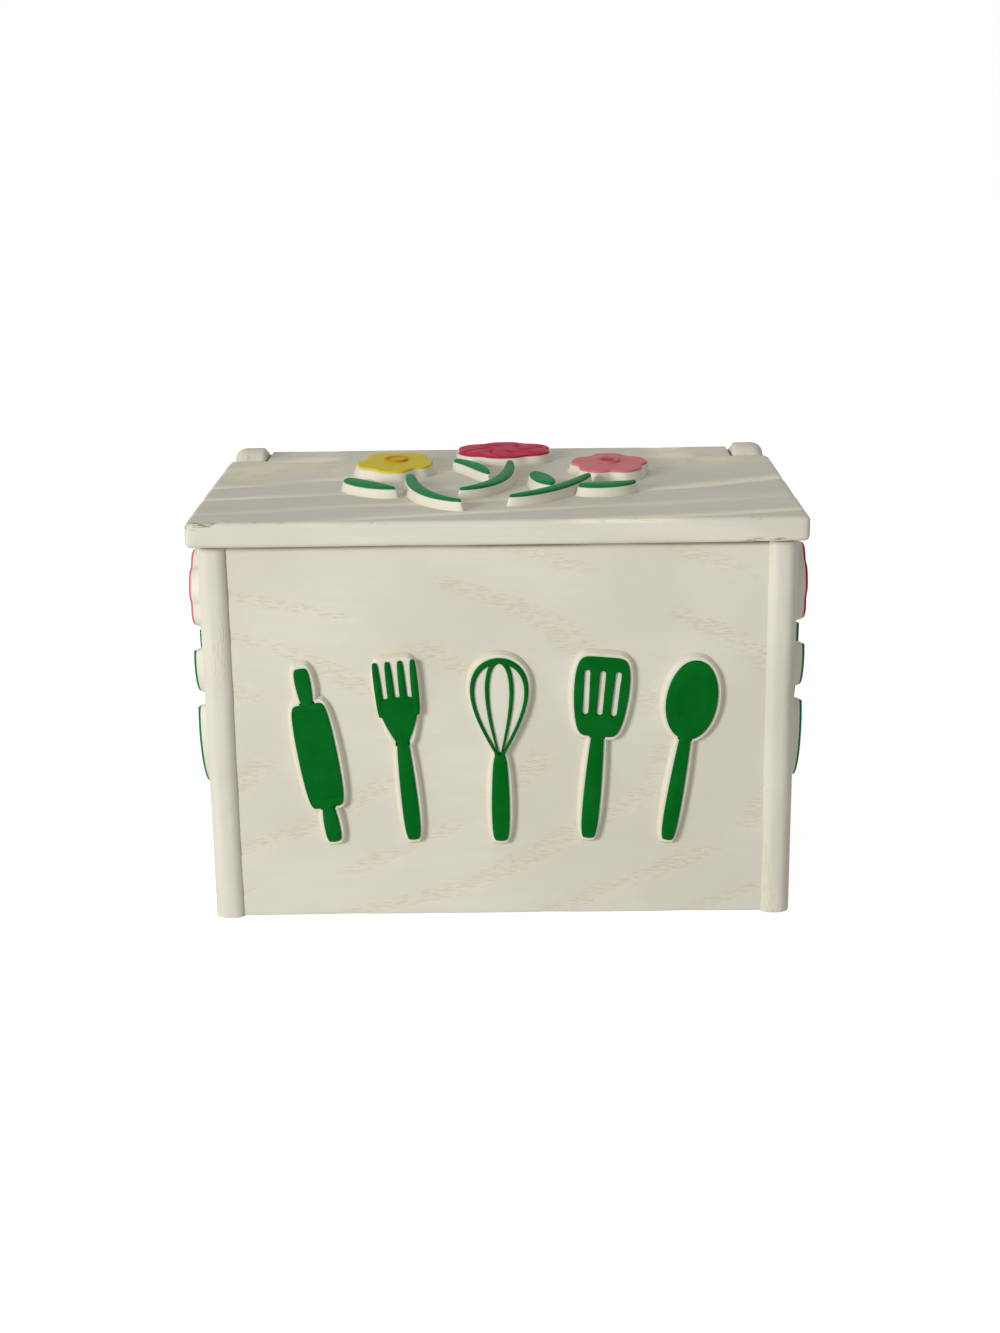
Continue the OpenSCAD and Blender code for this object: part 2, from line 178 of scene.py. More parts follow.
@dataclass
class Surface:
    """Closed skin: points in millimetres, faces of four corners, and numbers kept on the points."""

    points: np.ndarray
    quads: np.ndarray
    fields: dict[str, np.ndarray] = field(default_factory=dict)

    @staticmethod
    def joined(parts: "Sequence[Surface]") -> "Surface":
        """One surface made of several closed ones, with the numbers that all of them keep.

        Args:
            parts: the closed surfaces.

        Returns:
            The joined surface.
        """
        starts = np.cumsum([0] + [len(part.points) for part in parts])
        names = set(parts[0].fields).intersection(*(part.fields for part in parts))
        return Surface(
            np.concatenate([part.points for part in parts]),
            np.concatenate([part.quads + start for part, start in zip(parts, starts)]),
            {name: np.concatenate([part.fields[name] for part in parts]) for name in names},
        )

    def welded(self) -> "Surface":
        """The surface with its coincident points made one and its unused points left out.

        Returns:
            The surface, closed along its seams and poles.
        """
        used, inside = np.unique(self.quads, return_inverse=True)
        quads = inside.reshape(self.quads.shape)
        places = np.round(self.points[used], 5)
        _, first, owner = np.unique(places, axis=0, return_index=True, return_inverse=True)
        return Surface(
            self.points[used][first],
            owner.reshape(-1)[quads],
            {name: values[used][first] for name, values in self.fields.items()},
        )

    def seated(self, seat: "Seat") -> "Surface":
        """The surface carried from a seat's own axes into the world, with its faces still outwards."""
        quads = self.quads if np.linalg.det(seat.axes) > 0 else self.quads[:, ::-1]
        return Surface(self.points @ seat.axes + seat.origin, quads, self.fields)

    def normals(self) -> np.ndarray:
        """Unit normal at each point: the sum of the crossed diagonals of the faces that meet there.

        Returns:
            One unit vector for each point.
        """
        corners = self.points[self.quads]
        crossed = np.cross(corners[:, 2] - corners[:, 0], corners[:, 3] - corners[:, 1])
        total = np.zeros_like(self.points)
        np.add.at(total, self.quads.ravel(), np.repeat(crossed, 4, axis=0))
        return total / np.maximum(np.linalg.norm(total, axis=1, keepdims=True), 1e-9)

    def sunk(self, depth: np.ndarray) -> "Surface":
        """The surface with each point moved inwards along its normal."""
        return Surface(self.points - self.normals() * depth[:, None], self.quads, self.fields)

    def polygons(self) -> list[list[int]]:
        """The faces, with those that have a doubled corner turned into triangles.

        Returns:
            The numbers of each face's corners.
        """
        same = self.quads == np.roll(self.quads, -1, axis=1)
        count = same.sum(axis=1)
        pinched = self.quads[count == 1]
        start = same[count == 1].argmax(axis=1)[:, None]
        triangles = np.take_along_axis(pinched, (start + np.array([1, 2, 3])) % 4, axis=1)
        return self.quads[count == 0].tolist() + triangles.tolist()

    def make(self, name: str, material: bpy.types.Material, crease: float = 40.0) -> bpy.types.Object:
        """Makes the mesh object, smooth but for edges sharper than the crease.

        Args:
            name: name of the object.
            material: its finish.
            crease: angle between faces above which an edge stays sharp, in degrees.

        Returns:
            The object, linked to the scene.
        """
        mesh = bpy.data.meshes.new(name)
        mesh.from_pydata((self.points * MM).tolist(), [], self.polygons())
        for key, values in self.fields.items():
            layer = mesh.attributes.new(name=key, type="FLOAT", domain="POINT")
            layer.data.foreach_set("value", values.astype(np.float32))
        mesh.shade_smooth()
        mesh.set_sharp_from_angle(angle=math.radians(crease))
        mesh.materials.append(material)
        mesh.update()
        return new_object(name, mesh)


@dataclass(frozen=True)
class Seat:
    """Place that something is drawn on: its three axes as rows, and its origin, in the world."""

    axes: np.ndarray
    origin: np.ndarray

    @staticmethod
    def on(across: Point, up: Point, out: Point, origin: Point) -> "Seat":
        """A seat from its three directions and its origin."""
        return Seat(np.array([across, up, out], float), np.array(origin, float))


def shell(rings: Sequence[np.ndarray], **fields: np.ndarray) -> Surface:
    """Skin through closed rings of points, each joined to the next, and shut where rings shrink to a
    point or a line.

    Args:
        rings: the rings, with as many points each. They run counterclockwise, seen from the side
            that they rise to.
        fields: numbers to keep on the points, one for each point of each ring.

    Returns:
        The closed surface.
    """
    levels, count = len(rings), len(rings[0])
    here = np.arange((levels - 1) * count).reshape(levels - 1, count)
    after = np.roll(here, -1, axis=1)
    quads = np.stack([here, after, after + count, here + count], axis=-1).reshape(-1, 4)
    return Surface(np.concatenate(rings), quads, fields).welded()


def footed(skin: Surface) -> Surface:
    """A base with the painted shade and wax round its foot kept on its points: 1 at the board,
    and 0 a millimetre up.
    """
    return Surface(skin.points, skin.quads, {"wax": 1 - smoothstep(0.0, 1.0, skin.points[:, 2])})


def level(outline: np.ndarray, height: float | np.ndarray) -> np.ndarray:
    """An outline lifted to a height, or to one height for each of its points."""
    return np.column_stack([outline, np.broadcast_to(height, len(outline))])


# Sizes


@dataclass(frozen=True)
class BoxSizes:
    """Lengths that the case, the lid and their ornaments share."""

    width: float = 150.0
    height: float = 99.0
    depth: float = 99.0
    side_t: float = 8.2
    panel_t: float = 5.5
    setback: float = 1.6
    groove: float = 3.0
    bottom_t: float = 4.0
    bottom_raise: float = 3.0
    panel_groove: float = 2.0
    post_r: float = 3.0
    lid_t: float = 6.5
    lid_side: float = 2.1
    lid_front: float = 3.0
    lid_rear: float = 0.5
    lid_gap: float = 0.4
    lid_corner_r: float = 1.8
    lid_heel_r: float = 2.6
    lid_edge_r: float = 1.3
    hinge_inset: float = 6.5
    back_drop: float = 6.5
    pin_r: float = 1.5
    pin_grip: float = 9.0
    pin_recess: float = 0.6
    knuckle_gap: float = 0.4
    knuckle_r: float = 5.9
    knuckle_lead: float = 4.0
    knuckle_slope: float = 20.0
    knuckle_proud: float = 1.0
    shoulder_r: float = 3.6
    top_r: float = 1.2

    @property
    def side_out(self) -> float:
        """Outer face of a side board."""
        return self.width / 2

    @property
    def side_in(self) -> float:
        """Inner face of a side board."""
        return self.side_out - self.side_t

    @property
    def panel_half(self) -> float:
        """Half the width of a panel, from groove to groove."""
        return self.side_in + self.groove

    @property
    def front_y(self) -> float:
        """Front edges of the side boards."""
        return (self.lid_front - self.depth) / 2

    @property
    def rear_y(self) -> float:
        """Rear edges of the side boards."""
        return self.front_y + self.depth

    @property
    def front_face_y(self) -> float:
        """Outer face of the front panel."""
        return self.front_y + self.setback

    @property
    def back_face_y(self) -> float:
        """Outer face of the back panel."""
        return self.rear_y - self.setback

    @property
    def lid_z0(self) -> float:
        """Underside of the lid."""
        return self.height + self.lid_gap

    @property
    def lid_z1(self) -> float:
        """Top of the lid board."""
        return self.lid_z0 + self.lid_t

    @property
    def lid_half(self) -> float:
        """Half the lid's width."""
        return self.side_out + self.lid_side

    @property
    def lid_front_y(self) -> float:
        """Front edge of the lid."""
        return self.front_y - self.lid_front

    @property
    def lid_rear_y(self) -> float:
        """Rear edge of the lid."""
        return self.rear_y - self.lid_rear

    @property
    def lid_end_x(self) -> float:
        """Ends of the lid's narrow rear part."""
        return self.side_in - self.knuckle_gap

    @property
    def hinge_y(self) -> float:
        """Hinge axis, from front to back."""
        return self.rear_y - self.hinge_inset

    @property
    def hinge_z(self) -> float:
        """Height of the hinge axis."""
        return self.lid_z0 + self.lid_t / 2

    @property
    def knuckle_y(self) -> float:
        """Centre of a knuckle's round."""
        return self.hinge_y - self.knuckle_lead

    @property
    def knuckle_reach(self) -> float:
        """Distance from the hinge axis to a knuckle's foremost point."""
        return self.knuckle_lead + self.knuckle_r

    @property
    def notch_y(self) -> float:
        """Front edge of the lid's notches."""
        return self.hinge_y - self.knuckle_reach - self.knuckle_gap

    @property
    def back_top_z(self) -> float:
        """Top of the back panel."""
        return self.hinge_z - self.back_drop


# Boards


@dataclass(frozen=True)
class Edge:
    """Straight edge of a slab's plan: the plan axis that it limits, its place on that axis, the
    direction inwards, and the radii of its upper and lower arris."""

    axis: int
    place: float
    inward: int
    upper_r: float
    lower_r: float


@dataclass(frozen=True)
class Cut:
    """Rectangle taken out of a slab's plan, from a low to a high corner, with the arris radius."""

    low: Spot
    high: Spot
    radius: float


@dataclass
class Slab:
    """Board made of two faces on one lattice, joined by a wall along the lattice's border."""

    half: float
    edges: tuple[Edge, ...]
    pitch: Spot
    cuts: tuple[Cut, ...] = ()
    corners: tuple[tuple[float, float, int, int], ...] = ()
    corner_r: float = 1.0
    wall_rows: int = 8
    turns: int = 4

    def lines(self, axis: int) -> np.ndarray:
        """Lattice lines along one plan axis: quarter-circle steps inside each edge and cut, and even
        steps between them.

        Args:
            axis: 0 for the plan's first axis, 1 for its second.

        Returns:
            Places of the lines, rising.
        """
        marks: list[np.ndarray] = []
        for edge in (e for e in self.edges if e.axis == axis):
            for radius in {edge.upper_r, edge.lower_r}:
                turns = self.turns if radius < 1.5 else 2 * self.turns
                marks.append(edge.place + edge.inward * quarter_steps(radius, turns)[0])
        for cut in self.cuts:
            steps = quarter_steps(cut.radius, self.turns)[0]
            marks += [cut.low[axis] - steps, cut.high[axis] + steps]
        limits = [edge.place for edge in self.edges if edge.axis == axis]
        fixed = np.unique(np.round(np.concatenate(marks), 4))
        fixed = fixed[(fixed >= min(limits) - 1e-6) & (fixed <= max(limits) + 1e-6)]
        counts = np.maximum(1, np.ceil(np.diff(fixed) / self.pitch[axis] - 1e-6)).astype(int)
        spans = [np.linspace(a, b, n + 1) for a, b, n in zip(fixed[:-1], fixed[1:], counts)]
        return np.unique(np.round(np.concatenate(spans), 5))

    def drop(self, plan: np.ndarray, upper: bool) -> np.ndarray:
        """Drop of one face at each plan point: the greatest that any edge or cut gives there.

        Args:
            plan: points of the plan, one row each.
            upper: whether it is the upper face or the lower.

        Returns:
            One drop for each point.
        """
        most = np.zeros(len(plan))
        for edge in self.edges:
            inset = (plan[:, edge.axis] - edge.place) * edge.inward
            most = np.maximum(most, round_drop(inset, edge.upper_r if upper else edge.lower_r))
        for cut in self.cuts:
            gap = np.maximum(np.array(cut.low) - plan, plan - np.array(cut.high))
            away = np.linalg.norm(np.maximum(gap, 0.0), axis=1)
            most = np.maximum(most, round_drop(away, cut.radius))
        return most

    def rounded(self, plan: np.ndarray) -> np.ndarray:
        """The plan with its corners rounded: the squares round a corner's centre become circles.

        Args:
            plan: points of the plan, one row each.

        Returns:
            The points, moved where they are in a corner.
        """
        moved = plan.copy()
        for u, v, su, sv in self.corners:
            centre = np.array([u - su * self.corner_r, v - sv * self.corner_r])
            arm = (plan - centre) * (su, sv)
            inside = (arm > 1e-9).all(axis=1)
            square = arm[inside].max(axis=1)
            circle = np.hypot(arm[inside, 0], arm[inside, 1])
            moved[inside] = centre + (plan[inside] - centre) * (square / circle)[:, None]
        return moved

    def surface(self) -> Surface:
        """The board as a closed skin, its plan in the first two coordinates.

        Returns:
            The closed skin, with half the thickness on each side of zero.
        """
        u, v = self.lines(0), self.lines(1)
        plan = np.stack(np.meshgrid(u, v, indexing="ij"), axis=-1).reshape(-1, 2)
        index = np.arange(len(plan)).reshape(len(u), len(v))
        middle = np.stack(np.meshgrid((u[1:] + u[:-1]) / 2, (v[1:] + v[:-1]) / 2, indexing="ij"), -1)
        kept = np.ones(middle.shape[:2], bool)
        for cut in self.cuts:
            kept &= ~((middle > cut.low) & (middle < cut.high)).all(axis=-1)
        cells = np.stack([index[:-1, :-1], index[1:, :-1], index[1:, 1:], index[:-1, 1:]], -1)[kept]
        upper, lower = self.half - self.drop(plan, True), self.drop(plan, False) - self.half
        outline = self.rounded(plan)
        # Border edges are those that no neighbouring cell runs back along
        starts, ends = cells.ravel(), np.roll(cells, -1, axis=1).ravel()
        border = ~np.isin(starts * len(plan) + ends, ends * len(plan) + starts)
        starts, ends = starts[border], ends[border]
        rim = np.unique(starts)
        rows = np.linspace(0.0, 1.0, self.wall_rows + 1)
        wall = [level(outline[rim], upper[rim] + (lower[rim] - upper[rim]) * row) for row in rows]
        here = 2 * len(plan) + np.arange(self.wall_rows)[:, None] * len(rim)
        under = here + len(rim)
        first, second = np.searchsorted(rim, starts), np.searchsorted(rim, ends)
        strips = np.stack([here + second, here + first, under + first, under + second], -1)
        points = np.concatenate([level(outline, upper), level(outline, lower), *wall])
        quads = np.concatenate([cells, cells[:, ::-1] + len(plan), strips.reshape(-1, 4)])
        return Surface(points, quads).welded()


def box_edges(
    low: Spot, high: Spot, radii: tuple[float, float, float, float]
) -> tuple[Edge, Edge, Edge, Edge]:
    """Edges of a rectangular plan, with one arris radius each: low and high u, low and high v.

    Args:
        low: lowest corner of the plan.
        high: highest corner of the plan.
        radii: arris radii at low u, high u, low v and high v.

    Returns:
        The four edges, in the order of the radii.
    """
    return (
        Edge(0, low[0], 1, radii[0], radii[0]),
        Edge(0, high[0], -1, radii[1], radii[1]),
        Edge(1, low[1], 1, radii[2], radii[2]),
        Edge(1, high[1], -1, radii[3], radii[3]),
    )


@dataclass(frozen=True)
class LogGrain:
    """Year rings of the log that a board was sawn from. Its open pores follow them in bands.

    The middle of the rings runs along one axis, at a place across the board's face, behind the
    face, and leaning away from it, so that the rings meet the face in nested arches. A drift is
    given as the size of its cells across and along the grain, and its width in rings.
    """

    along: Axis
    across: Axis
    through: Axis
    heart: float
    face: float
    behind: float
    lean: float
    first: float = 48.5
    ring: float = 10.0
    patch: float = 26.0
    least: float = 0.12
    width: float = 1.0
    slow: Point = (22.0, 70.0, 0.5)
    quick: Point = (6.0, 24.0, 0.16)
    fades: tuple[Spot, Spot] = ((-0.26, -0.04), (0.04, 0.17))
    seed: int = 1

    def noise(self, points: np.ndarray, size: float, length: float, step: int) -> np.ndarray:
        """Noise stretched along the grain, with a seed some steps past the board's own."""
        return value_noise(points, stretched(size, length, self.along), self.seed + step)

    def bands(self, points: np.ndarray) -> np.ndarray:
        """Strength of the open grain, from 0 to 1.

        A point's ring number is its distance from the rings' middle over the ring's width, with a
        slow and a quick drift. A band fades in up to each whole number and ends a little past it,
        and a slower noise thins it out in patches along its way.

        Args:
            points: places on a board, one row each.

        Returns:
            One strength for each point.
        """
        a, c, t = (points[:, axis.value] for axis in (self.along, self.across, self.through))
        drift = 0.0
        for step, (size, length, width) in ((0, self.slow), (20, self.quick)):
            drift = drift + width * (self.noise(points, size, length, step) - 0.5)
        reach = np.hypot(c - self.heart, self.behind + self.lean * a + (t - self.face))
        number = (reach - self.first) / self.ring + drift
        offset = (number - np.round(number)) / self.width
        band = smoothstep(*self.fades[0], offset) * (1 - smoothstep(*self.fades[1], offset))
        thin = smoothstep(0.28, 0.62, self.noise(points, 7.0, self.patch, 40))
        return band * (self.least + (1 - self.least) * thin)


@dataclass(frozen=True)
class Blur:
    """Soft patch or line of something on a board: its place, its radii along X, Y and Z (endless
    where a radius is 0), and its strength."""

    place: Point
    radii: Point
    strength: float

    def strengths(self, points: np.ndarray) -> np.ndarray:
        """Strength at each point: e to the minus square of its distance in radii, times the strength."""
        away = [(points[:, k] - self.place[k]) / self.radii[k] for k in range(3) if self.radii[k] > 0]
        return self.strength * np.exp(-sum(a * a for a in away))


@dataclass(frozen=True)
class ChippedEdge:
    """Arris along X with small pieces broken out of it, more at one end."""

    place: Spot
    reach: float
    depth: float
    worst_x: float
    fade: float
    seed: int = 5

    def chips(self, points: np.ndarray) -> np.ndarray:
        """Strength of the chips, from 0 to 1: noise past a threshold that rises from 0.4 to 0.7 away
        from the worst end, times a fall-off from the arris.

        Args:
            points: places on a board, one row each.

        Returns:
            One strength for each point.
        """
        away = np.hypot(points[:, 1] - self.place[0], points[:, 2] - self.place[1])
        near = np.exp(-((away / self.reach) ** 2))
        mild = smoothstep(0.0, self.fade, np.abs(points[:, 0] - self.worst_x))
        coarse = value_noise(points, (2.4, 1.6, 1.6), self.seed)
        fine = value_noise(points, (0.9, 0.8, 0.8), self.seed + 1)
        rough = 0.65 * coarse + 0.35 * fine
        limit = 0.4 + 0.3 * mild
        return near * np.clip((rough - limit) / 0.25, 0.0, 1.0) * (1 - 0.55 * mild)


@dataclass(frozen=True)
class Weathering:
    """What years leave on a board: open grain, hand-sanded waves, dents, chips and wax; and lines
    of painted shade.
    """

    grain: LogGrain
    grain_depth: float = 0.11
    wave: float = 0.08
    ripple: float = 0.03
    dents: tuple[Blur, ...] = ()
    chipped: tuple[ChippedEdge, ...] = ()
    # Lines of painted shade, such as the shadow under the lid
    painted_shade_lines: tuple[Blur, ...] = ()
    waxed: tuple[Blur, ...] = ()

    def worn_and_shaded(self, board: Surface) -> Surface:
        """The board with its skin sunk, and its grain and wear kept on its points.

        Args:
            The board with its skin sunk, and its grain, chips, wax and painted shade kept on its points.

        Returns:
            The worn board.
        """
        points = board.points
        bands = self.grain.bands(points)
        depth = self.grain_depth * bands * (0.45 + 0.9 * self.grain.noise(points, 0.9, 4.0, 80))
        depth = depth + self.wave * self.grain.noise(points, 21.0, 21.0, 120)
        depth = depth + self.ripple * self.grain.noise(points, 4.5, 4.5, 160)
        wear, chip, wax = (np.zeros(len(points)) for _ in range(3))
        for dent in self.dents:
            depth = depth + dent.strengths(points)
        for edge in self.chipped:
            chips = edge.chips(points)
            chip = np.maximum(chip, chips)
            depth = depth + edge.depth * chips
        # Lines of painted shade, where the board lies in shadow, ragged along their way
        for line in self.painted_shade_lines:
            ragged = 0.75 + 0.5 * self.grain.noise(points, 14.0, 14.0, 200)
            wear = np.maximum(wear, np.minimum(line.strengths(points) * ragged, 1.0))
        for patch in self.waxed:
            cloud = smoothstep(0.1, 0.55, self.grain.noise(points, 6.0, 6.0, 240))
            wax = np.maximum(wax, patch.strengths(points) * cloud)
        sunk = board.sunk(depth)
        sunk.fields = {"grain": bands, "wear": wear, "chip": chip, "wax": wax}
        return sunk


# Ornaments


@dataclass(frozen=True)
class Relief:
    """Measures of the raised ornaments: enamel on a cream base with sloping walls."""

    enamel_t: float = 0.6
    draft: float = 0.7
    sunk: float = 0.35
    base_brink: float = 0.4
    enamel_brink: float = 0.42
    enamel_lip: float = 0.12
    leaf_taper: float = 0.4

    def wall(self, margin: float, height: float) -> list[Point]:
        """Steps up a base's leaning wall and its rounded brink: the share of the way up, the extra
        width all round and the height.

        Args:
            margin: width of the base past its enamel.
            height: height of the base.

        Returns:
            The steps, from the foot up.
        """
        steps = [
            (share, margin + self.draft * (1 - share) ** 1.6, share * (height - self.base_brink))
            for share in (0.0, 0.35, 0.7)
        ]
        brink = zip(*quarter_steps(self.base_brink, 4))
        return steps + [(1.0, margin - inset, height - drop) for inset, drop in brink]


RELIEF = Relief()
INWARD = np.array([0.94, 0.86, 0.76, 0.64, 0.52, 0.4, 0.28, 0.16, 0.07, 0.0])
# Rim and dish of a flower's eye, from its foot to its middle: share of its size, and height
EYE = np.array(
    [
        (1.0, -0.35), (1.0, 0.2), (0.985, 0.34), (0.95, 0.46), (0.9, 0.54), (0.84, 0.58), (0.78, 0.56),
        (0.7, 0.45), (0.62, 0.32), (0.54, 0.22), (0.46, 0.17), (0.36, 0.15), (0.2, 0.14), (0.0, 0.14),
    ]
)


@dataclass(frozen=True)
class Rosette:
    """Petalled outline round an oval, with rounded notches between its lobes."""

    centre: Spot
    radii: Spot
    lobes: int = 5
    notch: float = 0.16
    turn: float = 54.0

    @staticmethod
    def oval(centre: Spot, radii: Spot) -> "Rosette":
        """A plain oval, as for a flower's eye."""
        return Rosette(centre, radii, lobes=1, notch=0.0, turn=0.0)

    def pinch(self, angles: np.ndarray) -> np.ndarray:
        """1 in the middle of a notch and 0 in the middle of a lobe: |cos(lobes (a - turn) / 2)|^5."""
        return np.abs(np.cos(self.lobes * (angles - math.radians(self.turn)) / 2)) ** 5

    def outline(self, grow: float, notch: float = 1.0, count: int = 180) -> np.ndarray:
        """Points at centre + (radii f + grow)(cos a, sin a), where f = 1 - notch depth x pinch.

        Args:
            grow: extra width all round.
            notch: share of the notches' full depth.
            count: number of points.

        Returns:
            One row for each point, counterclockwise.
        """
        angles = even_turns(count)
        shrunk = 1 - self.notch * notch * self.pinch(angles)
        arms = np.outer(shrunk, self.radii) + grow
        return np.array(self.centre) + arms * np.column_stack([np.cos(angles), np.sin(angles)])

    def towards_middle(self, outline: np.ndarray, share: float) -> np.ndarray:
        """The outline shrunk to a share of its size about the middle."""
        return np.array(self.centre) + (outline - np.array(self.centre)) * share

    def base(self, margin: float, height: float) -> Surface:
        """Cream base: a wall that leans in from its foot, a rounded brink and a flat top. Its notches
        get deeper from 0.8 of their full depth at the foot to 0.9 at the brink.

        Args:
            margin: width of the base past its enamel.
            height: height of the base.

        Returns:
            The closed surface.
        """
        foot = self.outline(margin + RELIEF.draft, 0.8)
        rings = [level(self.towards_middle(foot, share), -RELIEF.sunk) for share in (0.0, 1.0)]
        for share, grow, rise in RELIEF.wall(margin, height):
            rings.append(level(self.outline(grow, 0.8 + 0.1 * share), rise))
        top = self.outline(margin - RELIEF.base_brink, 0.9)
        rings += [level(self.towards_middle(top, share), height) for share in INWARD[::3]]
        return shell(rings)

    def petals(self, height: float, swirl: float = 0.0, folds: float = 0.2) -> Surface:
        """Enamel of a flower: a rolled edge, a soft hump on each petal and a crease between two.

        The crease runs along the notches, turned by the swirl times the share of the way in. The
        points keep how far into a crease they are, for the enamel's painted shade there.

        Args:
            height: height of the base under it.
            swirl: petals' widths that the creases turn by from the edge to the middle.
            folds: share of the full depth of the creases and height of the humps.

        Returns:
            The closed surface, with its creases kept on its points.
        """
        low, top = height - RELIEF.enamel_lip, height + RELIEF.enamel_t
        edge, inner = self.outline(0.0), self.outline(-RELIEF.enamel_brink)
        rings = [level(self.towards_middle(edge, share), low) for share in (0.0, 1.0)]
        for inset, drop in zip(*quarter_steps(RELIEF.enamel_brink, 4)):
            rings.append(level(self.outline(-inset), top - drop))
        turns = even_turns(len(inner)) - math.radians(self.turn)
        creases = [np.zeros(len(turns))] * len(rings)
        for share in np.linspace(0.97, 0.0, 20):
            way = self.lobes * turns / (2 * math.pi) + 0.5 + swirl * (1 - share)
            petal = 2 * math.pi * share * min(self.radii) / self.lobes
            window = smoothstep(0.16, 0.4, share) * (1 - 0.6 * smoothstep(0.9, 1.0, share))
            crease = np.exp(-((np.abs(way - np.round(way)) * petal / 0.55) ** 2)) * window
            hump = np.abs(np.cos(math.pi * way)) ** 0.7 * smoothstep(0.1, 0.55, share)
            fall = 1 - smoothstep(0.8, 1.0, share)
            rise = 0.3 * (0.35 + 0.65 * (1 - hump)) * fall - 0.26 * crease
            creases.append(crease)
            rings.append(level(self.towards_middle(inner, share), top + folds * rise))
        # The crease strength is kept for the enamel's painted shade in the creases
        return shell(rings, wear=folds * np.concatenate(creases))

    def eye(self, height: float) -> Surface:
        """Enamel of a flower's middle: a rounded rim round a shallow dish. The points keep how far
        they are inside the dish.

        Args:
            height: height of the petals under it.

        Returns:
            The closed surface.
        """
        edge = self.outline(0.0, count=64)
        shares, lifts = np.vstack([(0.0, EYE[0, 1]), EYE]).T
        rings = [level(self.towards_middle(edge, s), height + z) for s, z in zip(shares, lifts)]
        dish = np.concatenate([[0.0], smoothstep(0.0, 1.0, (0.72 - EYE[:, 0]) / 0.2)])
        return shell(rings, wear=np.repeat(dish, len(edge)))


@dataclass(frozen=True)
class Stroke:
    """Leaf, stem or bar along a bent line: its start, pull and end, the half widths at both ends,
    the bluntness of the ends, from 1 for pointed down to 0 for square, and how much blunter the
    start is than the end."""

    start: Spot
    pull: Spot
    end: Spot
    half_start: float
    half_end: float
    blunt: float
    taper: float = RELIEF.leaf_taper

    @staticmethod
    def straight(
        start: Spot, end: Spot, half_start: float, half_end: float, blunt: float = 0.35
    ) -> "Stroke":
        """A straight bar."""
        middle = ((start[0] + end[0]) / 2, (start[1] + end[1]) / 2)
        return Stroke(start, middle, end, half_start, half_end, blunt, 0.0)

    def outline(self, grow: float, share: float = 1.0, count: int = 40) -> np.ndarray:
        """Closed outline, or the same drawn in towards the middle line.

        The middle line is the quadratic curve through start, pull and end, at t = (1 - cos a) / 2
        for a from 0 to 180 degrees. The half width is (start to end) sin(a)^b + grow sin a, square
        to the curve, where b = bluntness (1 + taper (2t - 1)), and the ends are moved out along it
        by grow cos a.

        Args:
            grow: extra width all round.
            share: share of the way from the middle line to the edge.
            count: steps along each edge.

        Returns:
            One row for each point, counterclockwise.
        """
        turns = np.linspace(0.0, math.pi, count + 1)
        turns = np.concatenate([turns, turns[-2:0:-1]])
        hand = np.where(np.arange(2 * count) <= count, -1.0, 1.0)
        t = ((1 - np.cos(turns)) / 2)[:, None]
        p0, p1, p2 = (np.array(p, float) for p in (self.start, self.pull, self.end))
        line = (1 - t) ** 2 * p0 + 2 * t * (1 - t) * p1 + t * t * p2
        way = (1 - t) * (p1 - p0) + t * (p2 - p1)
        way = way / np.linalg.norm(way, axis=1, keepdims=True)
        side = np.column_stack([-way[:, 1], way[:, 0]])
        sine = np.clip(np.sin(turns), 0.0, 1.0)
        power = self.blunt * (1 + self.taper * (2 * t[:, 0] - 1))
        half = (self.half_start + (self.half_end - self.half_start) * t[:, 0]) * sine**power
        half = (half + grow * sine) * hand * share
        return line + half[:, None] * side - (grow * share * np.cos(turns))[:, None] * way

    def base(self, margin: float, height: float) -> Surface:
        """Cream base: a wall that leans in from its foot, a rounded brink and a flat top.

        Args:
            margin: width of the base past its enamel.
            height: height of the base.

        Returns:
            The closed surface.
        """
        foot = margin + RELIEF.draft
        rings = [level(self.outline(foot, share), -RELIEF.sunk) for share in (0.0, 1.0)]
        for _, grow, rise in RELIEF.wall(margin, height):
            rings.append(level(self.outline(grow), rise))
        for share in (0.8, 0.5, 0.25, 0.0):
            rings.append(level(self.outline(margin - RELIEF.base_brink, share), height))
        return shell(rings)

    def enamel(
        self,
        height: float,
        carve: Callable[[np.ndarray], np.ndarray] | None = None,
        shares: np.ndarray = INWARD,
        count: int = 40,
        dome: float = 0.14,
    ) -> Surface:
        """Enamel: a rolled edge and a slightly domed top.

        Args:
            height: height of the base under it.
            carve: depth to take off the top at each place, if any.
            shares: rings between the rolled edge and the middle line.
            count: steps along each edge.
            dome: rise of the middle line above the edge.

        Returns:
            The closed surface.
        """
        brink = min(RELIEF.enamel_brink, 0.45 * min(self.half_start, self.half_end))
        low, top = height - RELIEF.enamel_lip, height + RELIEF.enamel_t
        rings = [level(self.outline(0.0, share, count), low) for share in (0.0, 1.0)]
        for inset, drop in zip(*quarter_steps(brink, 4)):
            rings.append(level(self.outline(-inset, 1.0, count), top - drop))
        for share in shares:
            ring = level(self.outline(-brink, share, count), top + dome * (1 - share * share))
            if carve is not None:
                ring[:, 2] -= carve(ring[:, :2])
            rings.append(ring)
        return shell(rings)


def teardrop(foot: Spot, half_width: float, height: float, count: int = 96) -> np.ndarray:
    """Loop that stands on its point: w sin a |sin(a / 2)|^1.3 wide and h (1 - cos a) / 2 high.

    Args:
        foot: place of its point.
        half_width: its w.
        height: its h.
        count: number of points.

    Returns:
        One row for each point, counterclockwise.
    """
    angles = even_turns(count)
    wide = half_width * np.sin(angles) * np.abs(np.sin(angles / 2)) ** 1.3
    return np.column_stack([foot[0] + wide, foot[1] + height * (1 - np.cos(angles)) / 2])


